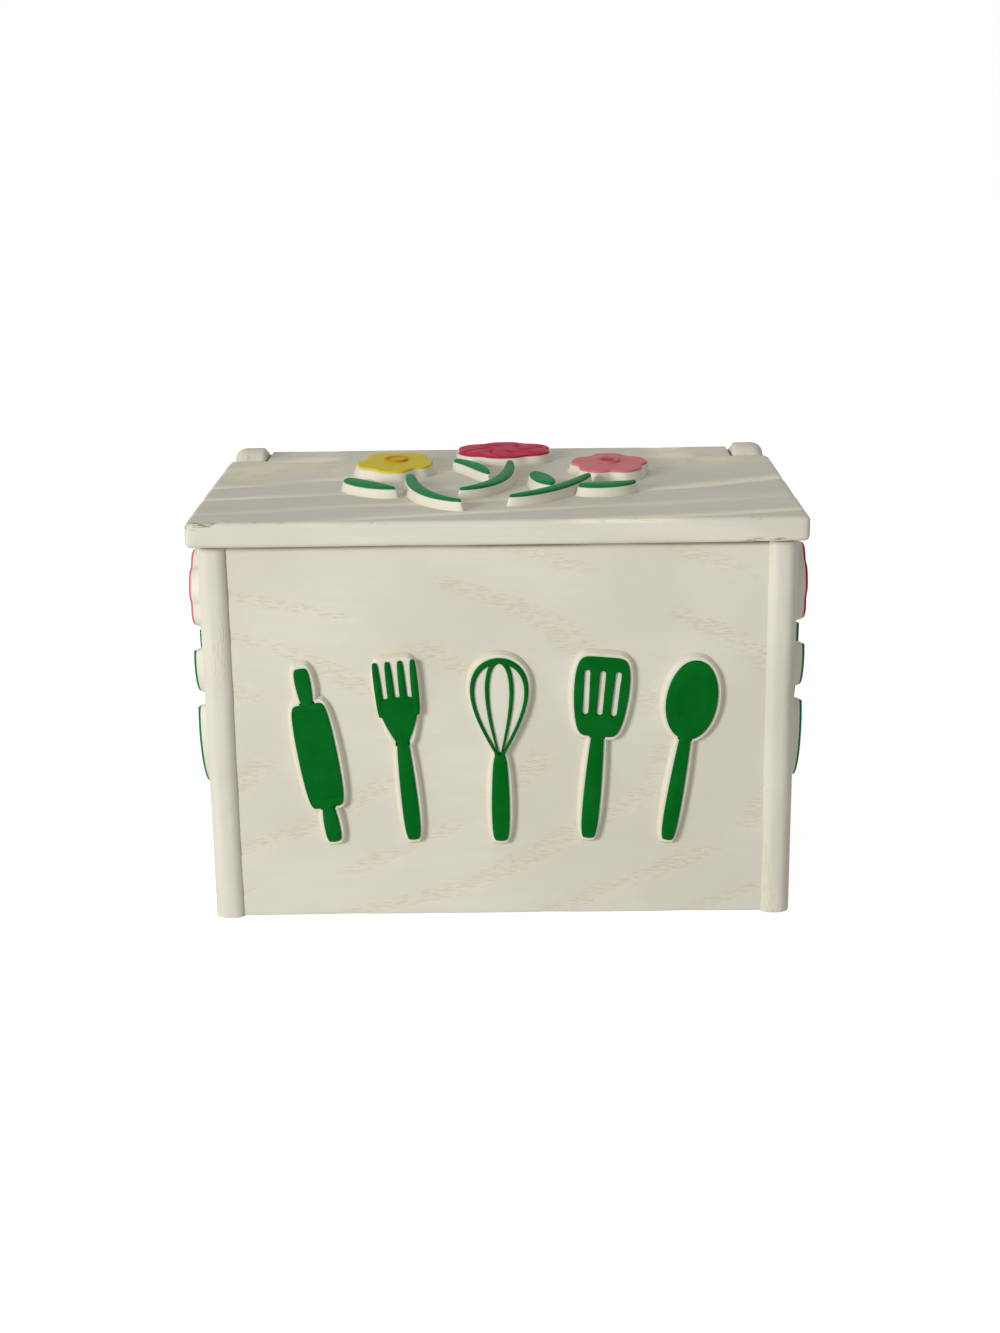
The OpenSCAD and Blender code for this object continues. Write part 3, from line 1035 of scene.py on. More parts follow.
def teardrop_base(foot: Spot, half_width: float, height: float, margin: float, thick: float) -> Surface:
    """Cream base under a teardrop: a leaning wall, a rounded brink and a flat top.

    Args:
        foot: place of the teardrop's point.
        half_width: half width of the teardrop.
        height: height of the teardrop.
        margin: width of the base past its enamel.
        thick: height of the base.

    Returns:
        The closed surface.
    """

    def grown(grow: float) -> np.ndarray:
        """The teardrop with extra width and length all round."""
        return teardrop((foot[0], foot[1] - grow), half_width + grow, height + 2 * grow)

    brink = RELIEF.base_brink
    middle = np.array([foot[0], foot[1] + height / 2])
    low, top = grown(margin + RELIEF.draft), grown(margin - brink)
    rings = [level(middle + 0 * low, -RELIEF.sunk), level(low, -RELIEF.sunk), level(low, 0.0)]
    rings.append(level(grown(margin + 0.3 * RELIEF.draft), 0.5 * (thick - brink)))
    rings += [level(grown(margin - i), thick - d) for i, d in zip(*quarter_steps(brink, 4))]
    rings += [level(middle + (top - middle) * share, thick) for share in (0.7, 0.35, 0.0)]
    return shell(rings)


def wire_loop(outer: np.ndarray, inner: np.ndarray, height: float) -> Surface:
    """Half-round wire between two loops.

    Across it the place runs from the outer to the inner loop by cos b, and its height is the
    enamel's thickness times the root of sin b, for b over half a turn.

    Args:
        outer: outer edge of the wire.
        inner: inner edge of the wire.
        height: height of the base under it.

    Returns:
        The closed surface.
    """
    middle, arm = (outer + inner) / 2, (outer - inner) / 2
    low = height - RELIEF.enamel_lip
    rings = [level(outer, low)]
    for turn in np.linspace(0.0, math.pi, 11):
        lift = RELIEF.enamel_t * math.sqrt(max(math.sin(turn), 0.0)) + 0.05
        rings.append(level(middle + arm * math.cos(turn), height + lift))
    rings += [level(inner, low), rings[0]]
    return shell(rings)


# Finishes


def linear(code: str) -> tuple[float, float, float, float]:
    """Linear colour of an sRGB hex code such as 'D9D3C2'.

    Args:
        code: six hexadecimal digits, two each for red, green and blue.

    Returns:
        Red, green and blue from 0 to 1, and 1 for opaque.
    """
    parts = [int(code[i : i + 2], 16) / 255 for i in (0, 2, 4)]
    red, green, blue = (p / 12.92 if p <= 0.04045 else ((p + 0.055) / 1.055) ** 2.4 for p in parts)
    return red, green, blue, 1.0


def add_node(
    tree: bpy.types.NodeTree, kind: str, inputs: dict | None = None, **settings: object
) -> bpy.types.Node:
    """Adds a node.

    Args:
        tree: node tree to add to.
        kind: type of the node without its common start.
        inputs: socket name or number, with the number, colour or output socket that it gets.
        settings: properties of the node.

    Returns:
        The node.
    """
    node = tree.nodes.new("ShaderNode" + kind)
    for name, value in settings.items():
        setattr(node, name, value)
    for key, value in (inputs or {}).items():
        if isinstance(value, bpy.types.NodeSocket):
            tree.links.new(value, node.inputs[key])
        else:
            node.inputs[key].default_value = value
    return node


def new_material(name: str) -> tuple[bpy.types.Material, bpy.types.NodeTree]:
    """An empty material with nodes, and its tree.

    Args:
        name: name of the material.

    Returns:
        The material and its node tree.
    """
    material = bpy.data.materials.new(name)
    material.use_nodes = True
    material.node_tree.nodes.clear()
    return material, material.node_tree


def combined(tree: bpy.types.NodeTree, operation: str, first: Value, second: Value) -> Value:
    """Two values put through one operation, such as MULTIPLY or MAXIMUM."""
    return add_node(tree, "Math", {0: first, 1: second}, operation=operation).outputs[0]


def blended(tree: bpy.types.NodeTree, share: Value, first: Tint, second: Tint) -> Tint:
    """Colour that goes from the first to the second with the share."""
    first, second = (linear(c) if isinstance(c, str) else c for c in (first, second))
    return add_node(tree, "Mix", {0: share, 6: first, 7: second}, data_type="RGBA").outputs[2]


def scaled(
    tree: bpy.types.NodeTree, value: Value, low: float, high: float, to: Spot = (0.0, 1.0)
) -> Value:
    """A value carried smoothly from one range to another."""
    inputs = {"Value": value, "From Min": low, "From Max": high, "To Min": to[0], "To Max": to[1]}
    return add_node(tree, "MapRange", inputs, interpolation_type="SMOOTHSTEP").outputs[0]


def noise(tree: bpy.types.NodeTree, size: float | Point, detail: float) -> Value:
    """Noise on object coordinates whose grains have a real size, in millimetres along X, Y and Z.

    Args:
        tree: node tree to add to.
        size: size of a grain, for all axes or for each of them.
        detail: number of finer layers on it.

    Returns:
        The noise, from 0 to 1.
    """
    place = add_node(tree, "TexCoord").outputs["Object"]
    scale = tuple(float(1 / (MM * s)) for s in np.broadcast_to(size, 3))
    spread = add_node(tree, "Mapping", {"Vector": place, "Scale": scale}).outputs[0]
    inputs = {"Vector": spread, "Scale": 1.0, "Detail": detail, "Roughness": 0.5}
    return add_node(tree, "TexNoise", inputs).outputs[0]


def kept(tree: bpy.types.NodeTree, name: str) -> Value:
    """Number that a mesh keeps on its points under a name."""
    return add_node(tree, "Attribute", attribute_name=name).outputs["Fac"]


def finish_shader(
    tree: bpy.types.NodeTree,
    paint: Tint,
    rough: Value,
    height: Value,
    depth: float,
    strength: float,
    constants: dict[str, float],
) -> None:
    """Adds the bump, the surface shader and the output.

    Args:
        tree: node tree to add to.
        paint: base colour.
        rough: roughness.
        height: height of the fine relief.
        depth: what a height of 1 stands for, in millimetres.
        strength: share of the relief that shows.
        constants: numbers on other sockets of the shader.
    """
    bump = add_node(tree, "Bump", {"Height": height, "Distance": depth * MM, "Strength": strength})
    inputs = {"Base Color": paint, "Roughness": rough, "Normal": bump.outputs[0], **constants}
    shader = add_node(tree, "BsdfPrincipled", inputs)
    add_node(tree, "OutputMaterial", {"Surface": shader.outputs[0]})


@dataclass(frozen=True)
class BoardPaint:
    """Cream satin paint brushed thinly over open-pored ash and rubbed back: even and soft, with
    short tan flecks where the pores show through, most of them along the bands of the grain."""

    name: str
    along: Axis
    cream: str = "DAD7C8"
    shade: str = "D2CEBE"
    band: str = "DED7B2"
    fleck: str = "C6BC86"
    wax: str = "C9B27E"
    # Dark brown of the painted shade
    worn_and_shaded: str = "6E5A3E"
    bare: str = "8A7456"
    band_share: float = 0.18
    fleck_share: float = 0.14

    def material(self) -> bpy.types.Material:
        """Builds the material.

        A fleck is a pore filled with old wax: 2.6 mm long and 0.42 mm wide, where a real pore is
        about half as wide, so that it shows. Where the paint is chipped, bare wood shows in
        dashes of about 3 by 0.3 mm.

        Returns:
            The material.
        """
        material, tree = new_material(self.name)
        bands, wax = kept(tree, "grain"), kept(tree, "wax")
        flecks = scaled(tree, noise(tree, stretched(0.42, 2.6, self.along), 1.5), 0.52, 0.66)
        reach = scaled(tree, combined(tree, "MAXIMUM", bands, wax), 0.0, 0.8, (0.05, 1.0))
        marks = combined(tree, "MULTIPLY", flecks, reach)
        cloud = scaled(tree, noise(tree, 38.0, 3.0), 0.35, 0.68)
        brushed = scaled(tree, noise(tree, stretched(2.2, 30.0, self.along), 2.0), 0.35, 0.7)
        paint = blended(tree, cloud, self.cream, self.shade)
        for share, strength, colour in (
            (brushed, 0.35, self.shade),
            (bands, self.band_share, self.band),
            (marks, self.fleck_share, self.fleck),
        ):
            paint = blended(tree, combined(tree, "MULTIPLY", share, strength), paint, colour)
        yellowed = combined(tree, "MULTIPLY", scaled(tree, flecks, 0.0, 0.7, (0.45, 1.0)), wax)
        paint = blended(tree, yellowed, paint, self.wax)
        # Painted shade: darker where the board keeps its lines of shade
        worn_and_shaded = scaled(tree, kept(tree, "wear"), 0.05, 1.0, (0.0, 0.9))
        paint = blended(tree, worn_and_shaded, paint, self.worn_and_shaded)
        dashes = scaled(tree, noise(tree, stretched(0.26, 3.2, self.along), 1.0), 0.46, 0.6)
        broken = combined(tree, "MULTIPLY", dashes, kept(tree, "chip"))
        paint = blended(tree, scaled(tree, broken, 0.04, 0.4, (0.0, 0.85)), paint, self.bare)
        grit = combined(tree, "MULTIPLY", noise(tree, 0.7, 2.0), 0.25)
        relief = combined(tree, "SUBTRACT", grit, marks)
        rough = scaled(tree, brushed, 0.0, 1.0, (0.55, 0.66))
        finish_shader(tree, paint, rough, relief, 0.1, 0.8, {"Specular IOR Level": 0.2})
        return material


@dataclass(frozen=True)
class MouldedPaint:
    """The same cream paint on the cast ornament bases: closed and a little brighter, with faint
    clouds of old wax, and darker, yellower paint in the corner round each foot: painted shade,
    with some wax."""

    name: str
    cream: str = "DEDACB"
    wax: str = "D8CFB0"

    def material(self) -> bpy.types.Material:
        """Builds the material. The wax clouds are about 4 mm wide and the paint's grit 0.6 mm.

        Returns:
            The material.
        """
        material, tree = new_material(self.name)
        cloud = scaled(tree, noise(tree, 4.0, 3.0), 0.45, 0.75, (0.0, 0.4))
        # Painted shade, with some wax, in the corner round each foot
        low = scaled(tree, kept(tree, "wax"), 0.0, 1.0, (0.0, 0.75))
        paint = blended(tree, combined(tree, "MAXIMUM", cloud, low), self.cream, self.wax)
        rough = scaled(tree, cloud, 0.0, 0.55, (0.5, 0.6))
        grit = noise(tree, 0.6, 2.0)
        finish_shader(tree, paint, rough, grit, 0.03, 0.5, {"Specular IOR Level": 0.2})
        return material


@dataclass(frozen=True)
class Enamel:
    """Brush-painted gloss enamel: strong colour, uneven where the coat is thin, with painted shade
    in its creases, its own tint in an eye's dish, and a soft shine with slight brush waves."""

    name: str
    colour: str
    thin: str
    # Colour of the painted shade in creases, and of an eye's dish
    crease_shade_and_dish: str
    roughness: float = 0.42

    def material(self) -> bpy.types.Material:
        """Builds the material. The coat varies over about 5 mm and its brush waves are 1.1 mm.

        Returns:
            The material.
        """
        material, tree = new_material(self.name)
        coat = scaled(tree, noise(tree, 5.0, 2.0), 0.4, 0.72, (0.0, 0.5))
        paint = blended(tree, coat, self.colour, self.thin)
        # Painted shade in the creases of petals; in an eye, the dish's own tint
        crease = scaled(tree, kept(tree, "wear"), 0.1, 1.0, (0.0, 0.9))
        paint = blended(tree, crease, paint, self.crease_shade_and_dish)
        rough = scaled(tree, coat, 0.0, 0.5, (self.roughness, self.roughness + 0.08))
        waves = noise(tree, 1.1, 1.0)
        finish_shader(tree, paint, rough, waves, 0.04, 0.5, {"Specular IOR Level": 0.03})
        return material


@dataclass(frozen=True)
class DrawnSteel:
    """Drawn steel wire cut to length: fine scratches along the pin and a dull grey shine."""

    name: str = "drawn_steel"
    colour: str = "9A9A98"
    stain: str = "6E675C"

    def material(self) -> bpy.types.Material:
        """Builds the material. The drawing lines are 0.15 mm apart and the stains 3 mm wide.

        Returns:
            The material.
        """
        material, tree = new_material(self.name)
        stains = scaled(tree, noise(tree, 3.0, 2.0), 0.5, 0.75, (0.0, 0.7))
        lines = noise(tree, stretched(0.15, 6.0, Axis.X), 1.0)
        metal = blended(tree, stains, self.colour, self.stain)
        rough = scaled(tree, stains, 0.0, 0.7, (0.32, 0.5))
        finish_shader(tree, metal, rough, lines, 0.01, 0.4, {"Metallic": 1.0})
        return material


@dataclass
class Palette:
    """The finishes, one material each: the boards' by their place, and the others by the name of
    the slot that they belong to."""

    boards: dict[str, bpy.types.Material] = field(default_factory=dict)
    by_slot: dict[str, bpy.types.Material] = field(default_factory=dict)

    def mix(self) -> None:
        """Builds every material."""
        paints = {
            "lengthwise": BoardPaint("cream_paint_on_ash_lengthwise", Axis.X),
            "upright": BoardPaint("cream_paint_on_ash_upright", Axis.Z),
            # The lid's grain bands are near-white: grain, with a painted highlight where its ridges
            # catch the light
            "lid": BoardPaint(
                "cream_paint_on_ash_lid", Axis.X, band="F8F1DA", wax="FFF4C6", band_share=1.0
            ),
        }
        self.boards = {place: paint.material() for place, paint in paints.items()}
        # Each enamel's colour, its thin coat, and the colour of its creases' painted shade and of an
        # eye's dish
        enamels = {
            "leaf_green_enamel": ("03601A", "0A6B24", "024012"),
            "stem_green_enamel": ("0E7A3C", "1A8648", "0A4A24"),
            "yellow_enamel": ("DAC61C", "E0CE2E", "A8870F"),
            "orange_enamel": ("C48C14", "CC9A20", "D8BC24"),
            "red_enamel": ("C02042", "C83050", "7C1230"),
            "pink_enamel": ("D67478", "DC8086", "9A4658"),
            "rose_enamel": ("C8686C", "CC7074", "9A4450"),
        }
        self.by_slot = {slot: Enamel(slot, *codes).material() for slot, codes in enamels.items()}
        self.by_slot["cream_relief"] = MouldedPaint("cream_paint_on_casting").material()
        self.by_slot["steel_pin"] = DrawnSteel().material()


def dress(
    skin: Surface, name: str, node: str, body: str, material: bpy.types.Material
) -> None:
    """Makes a piece with its finish for a node, sets what it rides on, and hides the node.

    Args:
        skin: surface of the piece, in its place.
        name: name of the piece.
        node: node that it stands for.
        body: body that it rides on.
        material: its finish.
    """
    piece = skin.make(name, material)
    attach(piece, body)
    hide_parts(node)
    log.info("%s stands for %s, %d faces", name, node, len(piece.data.polygons))


# Sub-assemblies


def sideways(hand: Hand, origin: Point = (0.0, 0.0, 0.0)) -> Seat:
    """Seat for what is drawn from front to back and up, and stands out to one side."""
    return Seat.on((0, 1, 0), (0, 0, 1), (hand.value, 0, 0), origin)


# Share of the way out of each ring of a flat round face, but for its rim
FACE_RINGS = (0.0, 0.3, 0.6, 0.85)


@dataclass
class Case:
    """Side boards with their knuckles, the front, back and bottom panels, and the hinge pins."""

    sizes: BoxSizes
    palette: Palette
    arris: float = 0.45
    grooved_arris: float = 0.3
    crown: float = 0.8
    along_pitch: float = 1.3
    across_pitch: float = 0.62
    knuckle_foot: float = 2.5
    knuckle_shy: float = 0.03
    pad_back: float = 0.5
    low_rim_r: float = 0.75
    pin_play: float = 0.08
    pin_chamfer: float = 0.35

    def knuckle(self) -> Surface:
        """Top of a side board, seen from the side: a round front, a slope to the rear, square below,
        with both faces' rims rounded.

        Returns:
            The closed surface, on the seat of its side.
        """
        s = self.sizes
        lean = math.radians(s.knuckle_slope)
        turns = np.linspace(QUARTER - lean, math.pi, 40)
        centre = np.array([s.knuckle_y, s.hinge_z])
        arc = centre + s.knuckle_r * np.column_stack([np.cos(turns), np.sin(turns)])
        foot_z = s.height - self.knuckle_foot
        front_foot = (s.knuckle_y - s.knuckle_r, foot_z)
        heel = (s.rear_y, arc[0, 1] - (s.rear_y - arc[0, 0]) * math.tan(lean))
        path = np.array([front_foot, (s.rear_y, foot_z), heel, *arc, front_foot])
        way = np.concatenate([[0.0], np.cumsum(np.linalg.norm(np.diff(path, axis=0), axis=1))])
        steps = np.linspace(0.0, way[-1], 140, endpoint=False)
        outline = np.column_stack([np.interp(steps, way, path[:, k]) for k in (0, 1)])
        tangent = np.roll(outline, -1, axis=0) - np.roll(outline, 1, axis=0)
        out = np.column_stack([tangent[:, 1], -tangent[:, 0]])
        out = out / np.linalg.norm(out, axis=1, keepdims=True)
        middle = outline.mean(axis=0)
        low, high = s.side_in + self.knuckle_shy, s.side_out - self.knuckle_shy
        inner = quarter_steps(s.lid_edge_r, 6)
        outer = quarter_steps(s.shoulder_r - s.knuckle_proud, 8)
        inside, outside = outline - out * inner[0][-1], outline - out * outer[0][-1]
        rings = [level(middle + (inside - middle) * share, low) for share in FACE_RINGS]
        rings += [level(outline - out * i, low + d) for i, d in zip(inner[0][::-1], inner[1][::-1])]
        rings += [level(outline - out * i, high - d) for i, d in zip(*outer)]
        rings += [level(middle + (outside - middle) * share, high) for share in FACE_RINGS[::-1]]
        return shell(rings)

    def knuckle_pad(self) -> Surface:
        """Disc that thickens a knuckle, seen from the side, with the pin's hole in its middle.

        Its edge is the least of the disc's radius and the distances to the knuckle's round, its
        slope and the rear edge, at each turn round the hinge axis.

        Returns:
            The closed surface, on the seat of its side.
        """
        s = self.sizes
        angles = even_turns(160)
        cosine, sine = np.cos(angles), np.sin(angles)
        lean = math.radians(s.knuckle_slope)
        slope = math.tan(lean)
        crest = np.array([s.knuckle_r * math.sin(lean) - s.knuckle_lead, s.knuckle_r * math.cos(lean)])
        top = (crest[1] + crest[0] * slope) / np.maximum(sine + slope * cosine, 1e-3)
        lead = s.knuckle_lead
        ring = -lead * cosine + np.sqrt((lead * cosine) ** 2 + s.knuckle_r**2 - lead**2)
        above = angles < math.pi
        front = angles > math.atan2(crest[1], crest[0])
        edge = np.where(above, np.where(front, ring, top), s.knuckle_reach)
        rear = np.where(cosine > 1e-3, s.hinge_inset / np.maximum(cosine, 1e-3), s.knuckle_reach)
        edge = np.minimum(np.minimum(edge, rear), s.knuckle_reach)

        def ring_at(radius: np.ndarray | float, x: np.ndarray | float) -> np.ndarray:
            """Ring round the hinge axis."""
            spot = np.column_stack([s.hinge_y + radius * cosine, s.hinge_z + radius * sine])
            return level(spot, x)

        face = s.side_out + s.knuckle_proud
        back = face - s.shoulder_r - self.pad_back
        hole = s.pin_r + self.pin_play
        lip = hole + 0.3
        # The rim is round above the pin, to meet the knuckle's shoulder, and crisper below it
        rim = self.low_rim_r + (s.shoulder_r - self.low_rim_r) * smoothstep(0.0, 0.5, sine)
        rings = [ring_at(0.0, back), ring_at(edge, back)]
        rings += [ring_at(edge - rim * i, face - rim * d) for i, d in zip(*quarter_steps(1.0, 9))]
        for share in (0.25, 0.5, 0.75, 1.0):
            rings.append(ring_at((edge - rim) * (1 - share) + lip * share, face))
        for radius, depth in ((hole + 0.08, 0.1), (hole, 0.3), (hole, 0.9), (0.0, 0.9)):
            rings.append(ring_at(radius, face - depth))
        return shell(rings)

    def side_board(self, hand: Hand) -> Surface:
        """Upright board with rounded front edges, its knuckle and the knuckle's pad.

        Args:
            hand: the side that it is on.

        Returns:
            The worn board, in its place.
        """
        s = self.sizes
        edges = box_edges(
            (s.front_y, 0.0), (s.rear_y, s.height), (s.post_r, self.arris, self.arris, self.arris)
        )
        edges = edges[:3] + (Edge(1, s.height, -1, s.top_r, self.arris),)
        board = Slab(s.side_t / 2, edges, (self.across_pitch, self.along_pitch), wall_rows=5).surface()
        # The front edge is crowned: it falls back with the square of the distance from its middle
        across = board.points[:, 2] / (s.side_t / 2)
        front = 1 - smoothstep(0.0, s.post_r + 1.5, board.points[:, 0] - s.front_y)
        board.points[:, 0] += self.crown * across**2 * front
        board.points[:, 2] += s.side_out - s.side_t / 2
        whole = Surface.joined([board, self.knuckle(), self.knuckle_pad()]).seated(sideways(hand))
        grain = LogGrain(
            Axis.Z, Axis.Y, Axis.X, heart=8.0, face=hand.value * s.side_out,
            behind=hand.value * 44.0, lean=hand.value * 0.2, seed=11 + hand.value,
        )
        knocks = {
            Hand.LEFT: (
                Blur((-70.5, s.front_y, 27.3), (1.6, 1.2, 0.6), 0.45),
                Blur((-72.6, s.front_y, 8.3), (1.2, 1.2, 0.8), 0.4),
                Blur((-69.5, s.front_y, 62.0), (1.8, 1.2, 2.4), 0.2),
            ),
            Hand.RIGHT: (
                Blur((68.1, s.front_y + 0.5, 36.1), (1.5, 1.2, 0.7), 0.5),
                Blur((68.3, s.front_y + 0.5, 4.7), (1.1, 1.2, 0.9), 0.4),
                Blur((73.2, s.front_y, 30.0), (1.4, 1.2, 3.0), 0.18),
            ),
        }
        # Painted shadow along the top of the post's front, under the lid
        painted_shade_lines = [Blur((0, s.front_y, s.height), (0, 2.0, 1.0), 0.5)]
        if hand is Hand.LEFT:
            # Painted shade darkens the corner between this post and the front panel
            painted_shade_lines.append(Blur((-s.side_in - 0.5, s.front_face_y, 0), (0.42, 0.7, 0), 0.85))
        return Weathering(grain, dents=knocks[hand], painted_shade_lines=tuple(painted_shade_lines)).worn_and_shaded(whole)

    def panel(self, low: Point, high: Point, out: int, weather: Weathering) -> Surface:
        """Upright panel between two corners, drawn across and up, its face towards the front for -1
        or the back for 1.

        Args:
            low: lowest corner, at the front.
            high: highest corner, at the back.
            out: -1 or 1, for its face.
            weather: its grain and wear.

        Returns:
            The worn panel, in its place.
        """
        radii = (self.grooved_arris, self.grooved_arris, self.arris, self.arris)
        edges = box_edges((low[0], low[2]), (high[0], high[2]), radii)
        half = (high[1] - low[1]) / 2
        slab = Slab(half, edges, (self.along_pitch, self.across_pitch), wall_rows=4, turns=3)
        place = Seat.on((1, 0, 0), (0, 0, 1), (0, out, 0), (0, low[1] + half, 0))
        return weather.worn_and_shaded(slab.surface().seated(place))

    def front_panel(self) -> Surface:
        """Front panel, from groove to groove.

        Returns:
            The worn panel, in its place.
        """
        s = self.sizes
        grain = LogGrain(
            Axis.X, Axis.Z, Axis.Y, heart=48.0, face=s.front_face_y, behind=46.4, lean=0.3, seed=3
        )
        # Painted shadow along the top of the face, under the lid's overhang
        painted_shade_lines = (Blur((0, s.front_face_y, s.height), (0, 0.9, 1.1), 0.8),)
        low = (-s.panel_half, s.front_face_y, 0.0)
        high = (s.panel_half, s.front_face_y + s.panel_t, s.height)
        return self.panel(low, high, -1, Weathering(grain, painted_shade_lines=painted_shade_lines))

    def back_panel(self) -> Surface:
        """Back panel, lower than the front, from groove to groove.

        Returns:
            The worn panel, in its place.
        """
        s = self.sizes
        grain = LogGrain(
            Axis.X, Axis.Z, Axis.Y, heart=40.0, face=s.back_face_y, behind=52.0, lean=-0.26, seed=23
        )
        low = (-s.panel_half, s.back_face_y - s.panel_t, 0.0)
        high = (s.panel_half, s.back_face_y, s.back_top_z)
        return self.panel(low, high, 1, Weathering(grain))

    def bottom_panel(self) -> Surface:
        """Bottom panel, let into the four boards.

        Returns:
            The worn panel, in its place.
        """
        s = self.sizes
        low = (-s.panel_half, s.front_face_y + s.panel_t - s.panel_groove)
        high = (s.panel_half, s.back_face_y - s.panel_t + s.panel_groove)
        edges = box_edges(low, high, (self.grooved_arris,) * 4)
        slab = Slab(s.bottom_t / 2, edges, (2.0, 0.9), wall_rows=2, turns=2).surface()
        slab.points[:, 2] += s.bottom_raise + s.bottom_t / 2
        grain = LogGrain(
            Axis.X, Axis.Y, Axis.Z, heart=5.0, face=7.0, behind=40.0, lean=0.24, seed=31
        )
        return Weathering(grain).worn_and_shaded(slab)

    def pin(self, hand: Hand) -> Surface:
        """Hinge pin: a straight pin with both ends chamfered.

        Args:
            hand: the side that it is on.

        Returns:
            The closed surface, in its place.
        """
        s = self.sizes
        inner = s.lid_end_x - s.pin_grip
        outer = s.side_out + s.knuckle_proud - s.pin_recess
        tip, cut = s.pin_r - self.pin_chamfer, self.pin_chamfer
        steps = [
            (0.0, inner), (tip, inner), (s.pin_r, inner + cut), (s.pin_r, (inner + outer) / 2),
            (s.pin_r, outer - cut), (tip, outer), (0.0, outer),
        ]
        angles = even_turns(40)
        circle, axis = np.column_stack([np.cos(angles), np.sin(angles)]), (s.hinge_y, s.hinge_z)
        return shell([level(axis + radius * circle, x) for radius, x in steps]).seated(sideways(hand))

    def build(self) -> None:
        """Makes and dresses every piece."""
        lengthwise, upright = self.palette.boards["lengthwise"], self.palette.boards["upright"]
        steel = self.palette.by_slot["steel_pin"]
        for hand in Hand:
            side = hand.name.lower()
            board = f"painted_side_{side}"
            dress(self.side_board(hand), board, f"side_board_{side}", "case", upright)
            dress(self.pin(hand), f"turned_pin_{side}", f"hinge_pin_{side}", "case", steel)
        panels = {"front": self.front_panel, "back": self.back_panel, "bottom": self.bottom_panel}
        for name, shape in panels.items():
            dress(shape(), f"painted_{name}", f"{name}_panel", "case", lengthwise)


@dataclass
class Lid:
    """Lid board, notched round the knuckles at its rear corners."""

    sizes: BoxSizes
    palette: Palette

    def board(self) -> Surface:
        """The board with worn edges, chips along its front and open grain.

        Returns:
            The worn board, in its place.
        """
        s = self.sizes
        arris, half, rear = s.lid_edge_r, s.lid_half, s.lid_rear_y
        edges = (
            Edge(0, -half, 1, arris, arris),
            Edge(0, half, -1, arris, arris),
            Edge(1, s.lid_front_y, 1, arris, arris),
            Edge(1, rear, -1, arris, s.lid_heel_r),
        )
        # The notches reach past the board's outline
        far_x, far_y = half + 9.0, rear + 9.0
        notches = (
            Cut((-far_x, s.notch_y), (-s.lid_end_x, far_y), 0.5),
            Cut((s.lid_end_x, s.notch_y), (far_x, far_y), 0.5),
        )
        corners = tuple(
            (x * half, y, x, sy) for x in (-1, 1) for y, sy in ((s.lid_front_y, -1), (s.notch_y, 1))
        )
        slab = Slab(s.lid_t / 2, edges, (1.1, 0.62), notches, corners, s.lid_corner_r, wall_rows=9)
        board = slab.surface()
        board.points[:, 2] += s.lid_z0 + s.lid_t / 2
        grain = LogGrain(
            Axis.X, Axis.Y, Axis.Z, heart=44.0, face=s.lid_z1, behind=75.0, lean=0.24,
            first=100.5, ring=12.5, patch=60.0, least=0.3, width=0.9, seed=7,
        )
        chips = (
            ChippedEdge(
                (s.lid_front_y + 0.9, s.lid_z1), reach=1.5, depth=0.25, worst_x=-half, fade=34.0
            ),
            ChippedEdge(
                (s.lid_front_y, s.lid_z0 + 0.4), reach=0.7, depth=0.2, worst_x=half, fade=40.0, seed=15
            ),
        )
        waxed = (
            Blur((-66.0, 16.0, s.lid_z1), (9.0, 14.0, 3.0), 1.0),
            Blur((-49.0, 22.0, s.lid_z1), (10.0, 9.0, 3.0), 1.0),
            Blur((58.0, 30.0, s.lid_z1), (17.0, 11.0, 3.0), 1.0),
        )
        knocks = (
            Blur((64.6, s.lid_front_y, s.lid_z0 + 0.3), (1.3, 1.0, 0.7), 0.5),
            Blur((-27.0, s.lid_front_y, s.lid_z1 - 0.2), (0.9, 1.2, 0.6), 0.35),
            Blur((10.0, s.lid_front_y, s.lid_z1 - 3.0), (0.7, 1.0, 0.5), 0.25),
        )
        weather = Weathering(grain, grain_depth=0.14, dents=knocks, chipped=chips, waxed=waxed)
        skin = weather.worn_and_shaded(board)
        # The grain is open on the top and nearly closed on the edges, so its bands' painted highlight
        # and its flecks stay on the top
        on_top = smoothstep(-1.2, -0.5, skin.points[:, 2] - s.lid_z1)
        skin.fields["grain"] = skin.fields["grain"] * (0.12 + 0.88 * on_top)
        return skin

    def build(self) -> None:
        """Makes and dresses the board."""
        paint = self.palette.boards["lid"]
        dress(self.board(), "painted_lid", "lid_board", "lid", paint)


@dataclass
class Flower:
    """One flower: its petals, its eye if it has one, and the finishes of both."""

    name: str
    petals: Rosette
    slot: str
    eye: Rosette | None = None
    eye_slot: str = ""
    swirl: float = 0.0
    folds: float = 0.2


@dataclass
class Ornament:
    """Something raised on a seat that rides on a body."""

    body: str
    seat: Seat
    palette: Palette

    def put(self, skin: Surface, start: str, node: str, slot: str) -> None:
        """Makes one piece on the seat, named for its node."""
        material = self.palette.by_slot[slot]
        dress(skin.seated(self.seat), f"{start}_{node}", node, self.body, material)


@dataclass
class Posy(Ornament):
    """Flowers, leaves and stems: a cream relief, with enamel on each of its tops."""

    name: str
    flowers: list[Flower]
    greens: dict[str, Stroke]
    flower_h: float
    green_h: float
    margin: float = 0.3

    def build(self) -> None:
        """Makes and dresses the relief, the petals, the eyes and the greens."""
        bases = [flower.petals.base(self.margin, self.flower_h) for flower in self.flowers]
        bases += [green.base(self.margin, self.green_h) for green in self.greens.values()]
        self.put(footed(Surface.joined(bases)), "casting", f"{self.name}_relief", "cream_relief")
        for flower in self.flowers:
            start = f"{self.name}_{flower.name}"
            petals = flower.petals.petals(self.flower_h, flower.swirl, flower.folds)
            self.put(petals, "enamelled", f"{start}_petals", flower.slot)
            if flower.eye is not None:
                eye = flower.eye.eye(self.flower_h + RELIEF.enamel_t)
                self.put(eye, "enamelled", f"{start}_eye", flower.eye_slot)
        for name, green in self.greens.items():
            enamel = green.enamel(self.green_h)
            self.put(enamel, "enamelled", f"{self.name}_{name}", "stem_green_enamel")


